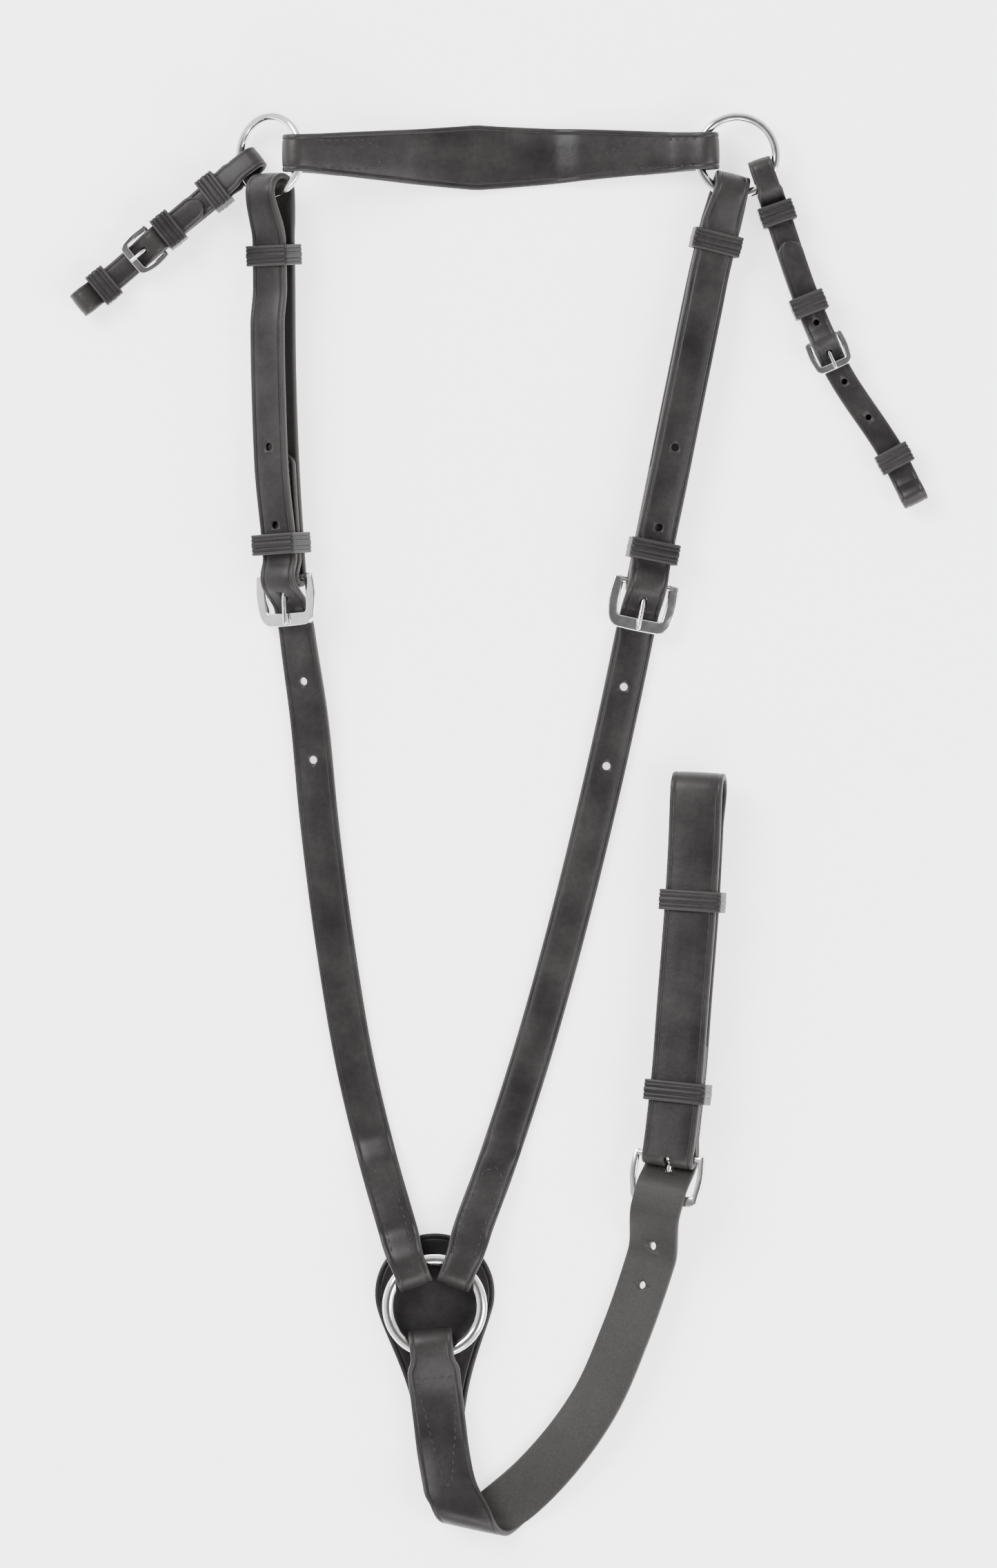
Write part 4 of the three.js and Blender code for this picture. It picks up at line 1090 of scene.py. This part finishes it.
def safe_outline():
    """The pear's outline: a round head eased into a narrow tail."""
    low = -0.32
    head = [low + (math.pi - 2 * low) * i / 56 for i in range(57)]
    points = [(SAFE.radius * math.cos(a), SAFE.rise + SAFE.radius * math.sin(a)) for a in head]
    edge_x, edge_y = points[0]
    tail_x = SAFE.tail_half_width

    def curve(p0, p1, p2, p3, t):
        return tuple(a * (1 - t) ** 3 + 3 * b * t * (1 - t) ** 2 + 3 * c * t * t * (1 - t) + d * t ** 3
                     for a, b, c, d in zip(p0, p1, p2, p3))

    left = [curve((-edge_x, edge_y), (-edge_x + 3.5, edge_y - 12), (-tail_x - 2, SAFE.tail + 22),
                  (-tail_x + 2.3, SAFE.tail), i / 20) for i in range(1, 21)]
    right = [curve((tail_x + 2.3, SAFE.tail), (tail_x + 4.5, SAFE.tail + 22), (edge_x - 3.5, edge_y - 12),
                   (edge_x, edge_y), i / 20) for i in range(0, 20)]
    return points + left + right


def inset_outline(points, inset):
    """The outline drawn in by the given distance, square to its own line at each point."""
    drawn = []
    for i, (x, y) in enumerate(points):
        (ax, ay), (bx, by) = points[i - 1], points[(i + 1) % len(points)]
        run = math.hypot(bx - ax, by - ay)
        drawn.append((x - (by - ay) / run * inset, y + (bx - ax) / run * inset))
    return drawn


def build_safe():
    """The pear-shaped safe: a thick piece of leather with a creased border and rounded edges."""
    outline, thick = safe_outline(), SAFE.thick
    stack = [(0.5, 0.0), (0.15, 0.18), (0.0, 0.55), (0.0, thick - 0.75), (0.2, thick - 0.3),
             (0.6, thick - 0.06), (1.6, thick), (2.1, thick - 0.04), (2.45, thick - 0.4),
             (2.8, thick - 0.04), (3.4, thick), (5.5, thick + 0.02)]
    rings = [[(x, y, z) for x, y in inset_outline(outline, inset)] for inset, z in stack]
    edges = [[inset] * len(outline) for inset, _ in stack]
    grains = [[float(z > thick / 2)] * len(outline) for _, z in stack]
    bm = bmesh.new()
    sweep(bm, rings, values={"edge_mm": edges, "grain": grains})
    piece = finish_mesh(bm, "safe_leather_pear", materials()["safe"], 60)
    settle(piece, "girth", "safe_leather", "safe")


# Girth strap.

GIRTH_NEAR = [(-1.3, -22.6, 0, 0), (0.4, -40, 0, 0), (2.3, -55.7, 0, 0), (4.4, -72, 0, 0), (7.7, -87, 0, 0),
              (13, -98.5, 0, 0)]
GIRTH_FAR = [(48.8, -84, 0, 8), (64, -67, 0, 16), (78.5, -45.7, 0, 22), (91.8, -15.7, 0, 24),
             (105.6, 24.3, 0, 22), (113.8, 54.3, 0, 18), (119.8, 103, 0, 13), (123.4, 150, 0, 12),
             (127, 200, 0, 11), (129.3, 249, 0, 10)]
GIRTH_HEIGHT = 20.5
GIRTH_HOLES = (48, 28.7, 10)


def turn_across(station, axis, share):
    """Turns a station's across direction towards the curl's axis, keeping the strap's edges."""
    amount = smooth(share)
    if amount == 0:
        return
    straight = station.across.copy()
    station.across = straight.lerp(-axis, amount).normalized()
    station.width /= station.across.dot(straight)


def girth_stations():
    width, thick, b = GIRTH.width, GIRTH.thick, GIRTH_BUCKLE
    near = Lay(0, GIRTH_NEAR)
    tongue = 67
    floor = SAFE.thick + GAP + thick / 2
    top = CHEST_RING.height + 5.6
    high = thick / 2 + 2 * CURL.radius
    near_view = (
        SideView(tongue, high - thick - GAP - 3)
        .run(38, floor, "tongue", 1.0)
        .run(20, floor, "tongue")
        .run(-4.4, CHEST_RING.height - 5.6, "tongue")
        .turn(top, -1)
        .run(22, floor + thick + GAP, "front")
        .run(38, floor + thick + GAP, "front")
        .run(near.length, high, "front")
    )
    tip = pointed(22, tongue)
    tongue_end = near_view.spans["tongue"][1]

    def near_width(u, i):
        if i < tongue_end and u > 40:
            return (width - 1) * tip(u)
        return width * (0.83 + 0.17 * smooth((u - 2) / 7))

    near_run = lay_stations(near, near_view.stations, near_width)
    last = near_run[-1]
    *_, dx, dy = near.at(near.length)
    pitch = CURL.radius / math.tan(CURL.axis - math.atan2(dy, dx))
    axis = Vector((math.cos(CURL.axis), math.sin(CURL.axis), 0))
    skew = -axis.dot(last.across)
    for i, s in enumerate(near_run):
        if i > tongue_end + 18:
            turn_across(s, axis, 1 - (near.length - s.u) / CURL.ease)
    centre = last.origin - Vector((0, 0, CURL.radius))
    curl = []
    for i in range(1, CURL.steps + 1):
        angle = math.pi * i / CURL.steps
        spoke = Matrix.Rotation(angle, 3, axis) @ Vector((0, 0, CURL.radius))
        curl.append(Station(centre + spoke + axis * pitch * angle, -axis, width / skew))
    foot = curl[-1].origin
    far = Lay(width + 5.2, [(foot.x, foot.y, 0, 0), *GIRTH_FAR])
    level = levels(GIRTH, b)
    bar, reach = far.find(72.5), buckle_reach(b)
    under = level.bar - b.thick / 2 - 0.6 - thick / 2
    front = level.tongue + thick + GAP + 1.2
    loop = Sizes(level=9.6, half=7.4)
    flat = GIRTH_HEIGHT - thick / 2
    view = (
        SideView(2, flat)
        .run(bar - reach - 30, flat)
        .run(bar - reach - b.front, under)
        .run(bar - reach + b.front / 2 + 1.1, under)
        .run(bar - 1.2, level.over)
        .run(bar + 1, level.over)
        .run(bar + 10, level.tongue + thick + GAP + 0.2)
        .run(bar + TURN_BACK - 4, front)
        .run(far.length - 58, front)
        .run(far.length - 18, front)
        .run(far.length, loop.level + loop.half)
        .turn(loop.level - loop.half, 1, 24)
        .run(far.length - 24, level.back, "back")
        .run(bar, level.back, "back")
        .turn(level.fold, -1)
        .run(bar + 9, level.tongue)
        .run(bar + TURN_BACK - 10, level.tongue, "tongue")
        .run(bar + TURN_BACK, level.tongue, "tongue", 0.8)
    )
    turned = [(u, GIRTH_HEIGHT - z) for u, z in view.stations]
    tip_far = pointed(9, bar + TURN_BACK)
    tongue_start = view.spans["tongue"][0]
    far_run = lay_stations(far, turned, lambda u, i: width * (tip_far(u) if i > tongue_start else 1))
    for i, s in enumerate(far_run):
        s.across.negate()
        if i < 40:
            turn_across(s, axis, 1 - turned[i][0] / CURL.ease)
    place = far.frame(bar, GIRTH_HEIGHT - level.bar) @ Matrix.Rotation(math.pi, 4, "Y")
    offset = len(near_run) + len(curl)
    spans = {"front": near_view.spans["front"], "tongue": near_view.spans["tongue"],
             "back": tuple(i + offset for i in view.spans["back"])}
    return near_run + curl + far_run, spans, far, place, level, bar


def build_girth_strap(look):
    """The girth strap, curled under and doubled back to its loop."""
    stations, spans, far, place, level, _ = girth_stations()
    strap = build_strap("girth_strap_leather", stations, GIRTH.thick, look, materials()["strap"])
    tools = bmesh.new()
    slot_tool(tools, GIRTH_BUCKLE, place, level.fold_half)
    for y in GIRTH_HOLES:
        hole_tool(tools, far.frame(far.find(y), GIRTH.thick), HOLE_RADIUS, GIRTH.thick * 2.4)
    cut(strap, tools, prong_tool(GIRTH_BUCKLE, place))
    settle(strap, "girth", "strap_leather", "girth_strap")
    seams = bmesh.new()
    box = [(11.3, 8.3), (11.3, -9.3)]
    vee = [(14.5, 8.4), (65, 1.7), (62, -1.5), (56, -3.5), (40, -7.0), (14.5, -9.1)]
    for span in ("front", "tongue"):
        for route in (box, vee):
            add_stitches(seams, stations, spans[span], route, GIRTH.thick, look)
    finish_stitches(seams, "girth_stitching", "girth", materials()["thread"])


def build_girth_fittings(look):
    """The buckle, prong, keeper and runner of the girth strap."""
    _, _, far, place, _, _ = girth_stations()
    metal, leather = materials()["buckle"], materials()["band"]
    settle(build_buckle("girth_buckle_cast", GIRTH_BUCKLE, place, metal), "girth_buckle", "buckle_steel",
           "girth_buckle_frame")
    settle(build_prong("girth_buckle_tongue", GIRTH_BUCKLE, place, metal), "girth_prong", "buckle_steel",
           "girth_buckle_prong")
    inner = GIRTH.width + 1.2
    for name, body, y, tall in (("keeper", "girth", 103.3, 14), ("runner", "girth_runner", 195.7, 13)):
        matrix = far.frame(far.find(y), GIRTH_HEIGHT - KEEPER.thick - tall)
        band = build_band(f"girth_{name}_loop", inner, tall, KEEPER.thick, matrix, look, leather)
        settle(band, body, "keeper_leather", f"girth_{name}")


# Dee straps.

# How far the end loop's floor stands proud of the layer behind it, in millimetres.
LOOP_FLOOR_STEP = 0.12
DEE_LAYS = {
    "left": Sizes(
        points=[(-172.7, 483, 0, 0), (-160.8, 492.5, 0, 0), (-132.5, 516.6, 0, 0), (-111, 533.6, 0, 5),
                (-92.9, 547.4, 0, 16.7)],
        level=5.3, front_bar=(-145.1, 505.2), turn_back=24, tip=(-112.6, 532.6), keeper=None,
        end_runner=(-159.8, 493.3), holes=[]),
    "right": Sizes(
        points=[(233, 387.7, 0, 0), (222.2, 409.7, 0, 0), (193.5, 454.8, 0, 0), (180.7, 483.8, 0, 0),
                (164.9, 529.7, 0, 0), (160.3, 542.8, 0, 0)],
        level=10.6, front_bar=(193.5, 454.8), turn_back=40, tip=(170.7, 514.3), keeper=(180.7, 483.8),
        end_runner=(222.2, 409.7), holes=[(197.5, 446.5), (207.2, 428), (184, 475)]),
}


def dee_parts(side):
    at, b, thick = DEE_LAYS[side], DEE_BUCKLE, DEE.thick
    lay = Lay(DEE.width + 4.6, at.points)
    front_bar = lay.nearest(*at.front_bar)
    bar = front_bar + buckle_reach(b)
    step = thick + GAP
    back = KEEPER.thick + GAP + thick / 2
    tongue = back + step
    bar_z = tongue + thick / 2 + GAP + b.bar
    fold = bar_z + b.bar + GAP + thick / 2
    loop_end = DEE_LOOP + thick / 2
    end_half, end_floor, tip, last = 4.25, 3.8, lay.nearest(*at.tip), lay.length
    start = end_half + thick / 2
    view = (
        SideView(bar + at.turn_back, tongue)
        .run(bar + at.turn_back - 6, tongue, "tongue", 0.6)
        .run(bar, tongue)
        .turn(fold, -1)
        .run(bar + 6, tongue + step)
        .run(last - 11, tongue + step)
        .run(last - 3, at.level + DEE_LOOP)
        .run(last + 12.1 - loop_end, at.level + DEE_LOOP)
        .turn(at.level - DEE_LOOP, 1)
        .run(last - 3, at.level - DEE_LOOP)
        .run(last - 11, back - LOOP_FLOOR_STEP)
        .run(start + end_floor + 1.2, back - LOOP_FLOOR_STEP)
        .run(start + end_floor, back)
        .run(start, back)
        .turn(back + 2 * end_half, -1)
        .run(end_half + 8, tongue)
        .run(front_bar + b.front / 2 + 0.55, tongue)
        .run(bar - 1.3, fold + step)
        .run(bar + 1, fold + step)
        .run(bar + 7, tongue + 2 * step)
        .run(tip - 8, tongue + 2 * step)
        .run(tip, tongue + 2 * step, "billet", 0.6)
    )
    tongue_end, billet = view.spans["tongue"][1], view.spans["billet"][0]
    tip_low, tip_high = pointed(5, bar + at.turn_back), pointed(6, tip)

    def width_at(u, i):
        if i < tongue_end:
            return DEE.width * tip_low(u)
        if i > billet:
            return DEE.width * tip_high(u)
        return DEE.width * (0.89 if u > last - 4 else 1)

    stations = lay_stations(lay, view.stations, width_at)
    return Sizes(stations=stations, lay=lay, place=lay.frame(bar, bar_z), bar=bar, front_bar=front_bar,
                 tongue=tongue, step=step, last=last)


def build_dee_strap(side, look):
    """One dee strap with its buckle, prong, keeper and runners."""
    at, b, made = DEE_LAYS[side], DEE_BUCKLE, dee_parts(side)
    metal, band = materials()["buckle"], materials()["band"]
    strap = build_strap(f"dee_strap_{side}_leather", made.stations, DEE.thick, look, materials()["strap"])
    tools = bmesh.new()
    slot_tool(tools, b, made.place, b.bar + GAP + DEE.thick)
    for x, y in at.holes:
        u = made.lay.nearest(x, y)
        z = made.tongue if u < made.front_bar else made.tongue + 2 * made.step
        hole_tool(tools, made.lay.frame(u, z), DEE_HOLE_RADIUS, DEE.thick * 0.95)
    cut(strap, tools, prong_tool(b, made.place))
    settle(strap, f"dee_{side}", "strap_leather", f"dee_strap_{side}")
    name = f"dee_buckle_{side}"
    cast = build_buckle(f"{name}_cast", b, made.place, metal)
    settle(cast, name, "buckle_steel", f"{name}_frame")
    prong = build_prong(f"{name}_tongue", b, made.place, metal)
    settle(prong, f"dee_prong_{side}", "buckle_steel", f"{name}_prong")
    bands = [("keeper", made.lay.nearest(*at.keeper) if at.keeper else made.bar + 9, 4.9),
             ("ring_runner", made.last - 15.8, 3.5), ("end_runner", made.lay.nearest(*at.end_runner), 2.4)]
    for kind, u, layers in bands:
        tall = layers * made.step + 2 * GAP + 0.2
        at_band = made.lay.frame(u, DEE_BAND)
        loop = build_band(f"dee_{kind}_{side}_loop", DEE.width + 1, tall, DEE_BAND, at_band, look, band)
        body = f"dee_{side}" if kind == "keeper" else f"dee_{kind}_{side}"
        settle(loop, body, "keeper_leather", f"dee_{kind}_{side}")


# Stage.


def build_floor(stage):
    """The plain pale floor."""
    bm = bmesh.new()
    bmesh.ops.create_grid(bm, x_segments=2, y_segments=2, size=30)
    mesh = bpy.data.meshes.new("studio_floor")
    bm.to_mesh(mesh)
    bm.free()
    floor = bpy.data.objects.new("studio_floor", mesh)
    floor.location.z = CAD_BOX[0][2] - 0.0002
    floor.data.materials.append(floor_material(tuple(stage.floor_colour)))
    bpy.context.scene.collection.objects.link(floor)


def add_light(name, location, target, size, power, colour=(1, 1, 1)):
    light = bpy.data.lights.new(name, "AREA")
    light.shape = "RECTANGLE"
    light.size, light.size_y = size
    light.energy = power
    light.color = colour
    obj = bpy.data.objects.new(name, light)
    obj.location = location
    obj.rotation_euler = (Vector(target) - Vector(location)).to_track_quat("-Z", "Y").to_euler()
    bpy.context.scene.collection.objects.link(obj)


def build_world(stage):
    """The soft light all round."""
    world = bpy.context.scene.world or bpy.data.worlds.new("studio")
    bpy.context.scene.world = world
    world.use_nodes = True
    nodes, links = world.node_tree.nodes, world.node_tree.links
    background = nodes["Background"]
    background.inputs["Strength"].default_value = stage.world_light
    where = nodes.new("ShaderNodeTexCoord").outputs["Generated"]
    split = nodes.new("ShaderNodeSeparateXYZ")
    links.new(where, split.inputs[0])
    sky = ramp(nodes, (0.0, 0.45), (0.22, 1.15), (0.6, 1.1), (0.84, 0.55), (0.95, 0.16))
    links.new(split.outputs["Z"], sky.inputs["Fac"])
    links.new(sky.outputs["Color"], background.inputs["Color"])


def build_camera(stage):
    """The camera above the laid part."""
    camera = bpy.data.cameras.new("view_from_above")
    camera.sensor_fit = "VERTICAL"
    camera.sensor_height = 36
    camera.lens = 36 * stage.distance / stage.view_height
    camera.clip_end = 100
    camera.dof.use_dof = False
    obj = bpy.data.objects.new("view_from_above", camera)
    obj.location = ORIGIN + Vector((0.0308, 0.2523, 0.010 + stage.distance))
    bpy.context.scene.collection.objects.link(obj)
    bpy.context.scene.camera = obj


# Operators.


class MARTINGALE_OT_neck_straps(bpy.types.Operator):
    """Builds both neck straps with their stitching, buckles, keepers and runners"""

    bl_idname = "martingale.neck_straps"
    bl_label = "Neck straps"

    def execute(self, context):
        for side in NECK_LAYS:
            build_neck_strap(side, context.scene.leather_look)
            build_neck_fittings(side, context.scene.leather_look)
        return {"FINISHED"}


class MARTINGALE_OT_wither_strap(bpy.types.Operator):
    """Builds the wither strap with its stitched turn-backs"""

    bl_idname = "martingale.wither_strap"
    bl_label = "Wither strap"

    def execute(self, context):
        build_wither_strap(context.scene.leather_look)
        return {"FINISHED"}


class MARTINGALE_OT_girth_strap(bpy.types.Operator):
    """Builds the girth strap with its stitching, buckle, keeper and runner"""

    bl_idname = "martingale.girth_strap"
    bl_label = "Girth strap"

    def execute(self, context):
        build_girth_strap(context.scene.leather_look)
        build_girth_fittings(context.scene.leather_look)
        return {"FINISHED"}


class MARTINGALE_OT_safe(bpy.types.Operator):
    """Builds the pear-shaped safe behind the chest ring"""

    bl_idname = "martingale.safe"
    bl_label = "Safe"

    def execute(self, context):
        build_safe()
        return {"FINISHED"}


class MARTINGALE_OT_dee_straps(bpy.types.Operator):
    """Builds both dee straps with their buckles, keepers and runners"""

    bl_idname = "martingale.dee_straps"
    bl_label = "Dee straps"

    def execute(self, context):
        for side in DEE_LAYS:
            build_dee_strap(side, context.scene.leather_look)
        return {"FINISHED"}


class MARTINGALE_OT_rings(bpy.types.Operator):
    """Builds the chest ring and the two upper rings"""

    bl_idname = "martingale.rings"
    bl_label = "Rings"

    def execute(self, context):
        metal = materials()["ring"]
        tilt = Matrix.Rotation(-LEFT_RING_TILT, 4, "Y")
        places = {
            "upper_ring_left": (UPPER_RING, Matrix.Translation(LEFT_RING) @ tilt, "ring_left"),
            "upper_ring_right": (UPPER_RING, Matrix.Translation(RIGHT_RING), "ring_right"),
            "chest_ring": (CHEST_RING, Matrix.Translation((0, 0, CHEST_RING.height)), "chest_ring"),
        }
        for node, (size, matrix, body) in places.items():
            ring = build_ring(f"{node}_wire", size.radius, size.wire, matrix, metal)
            settle(ring, body, "ring_steel", node)
        return {"FINISHED"}


class MARTINGALE_OT_stage(bpy.types.Operator):
    """Sets the floor, the soft lights and the camera above the part"""

    bl_idname = "martingale.stage"
    bl_label = "Stage"

    def execute(self, context):
        stage = context.scene.stage_look
        build_floor(stage)
        build_world(stage)
        build_camera(stage)
        add_light("key_softbox", (-1.5, 1.3, 1.9), (0, 0, 0), (1.5, 1.5), stage.key_light)
        add_light("fill_softbox", (1.8, -0.7, 1.7), (0, 0, 0), (1.2, 1.8), stage.key_light * 0.6)
        add_light("strip_light", (0.2, -2.0, 1.4), (0, -0.1, 0), (1.8, 0.35), stage.key_light * 0.35)
        return {"FINISHED"}


class MARTINGALE_PT_panel(bpy.types.Panel):
    """Lists the settings and the steps that build the martingale"""

    bl_label = "Martingale"
    bl_idname = "MARTINGALE_PT_panel"
    bl_space_type = "VIEW_3D"
    bl_region_type = "UI"
    bl_category = "Martingale"

    def draw(self, context):
        for look in (context.scene.leather_look, context.scene.steel_look, context.scene.stage_look):
            box = self.layout.box()
            for name in look.__annotations__:
                box.prop(look, name)
        for operator in OPERATORS:
            self.layout.operator(operator.bl_idname)


OPERATORS = (
    MARTINGALE_OT_stage,
    MARTINGALE_OT_rings,
    MARTINGALE_OT_safe,
    MARTINGALE_OT_neck_straps,
    MARTINGALE_OT_wither_strap,
    MARTINGALE_OT_girth_strap,
    MARTINGALE_OT_dee_straps,
)
CLASSES = (LeatherLook, SteelLook, StageLook, *OPERATORS, MARTINGALE_PT_panel)


def register():
    for cls in CLASSES:
        bpy.utils.register_class(cls)
    bpy.types.Scene.leather_look = PointerProperty(type=LeatherLook)
    bpy.types.Scene.steel_look = PointerProperty(type=SteelLook)
    bpy.types.Scene.stage_look = PointerProperty(type=StageLook)


def unregister():
    del bpy.types.Scene.stage_look
    del bpy.types.Scene.steel_look
    del bpy.types.Scene.leather_look
    for cls in reversed(CLASSES):
        bpy.utils.unregister_class(cls)


def main():
    register()
    for operator in OPERATORS:
        group, name = operator.bl_idname.split(".")
        getattr(getattr(bpy.ops, group), name)()


if __name__ == "__main__":
    main()
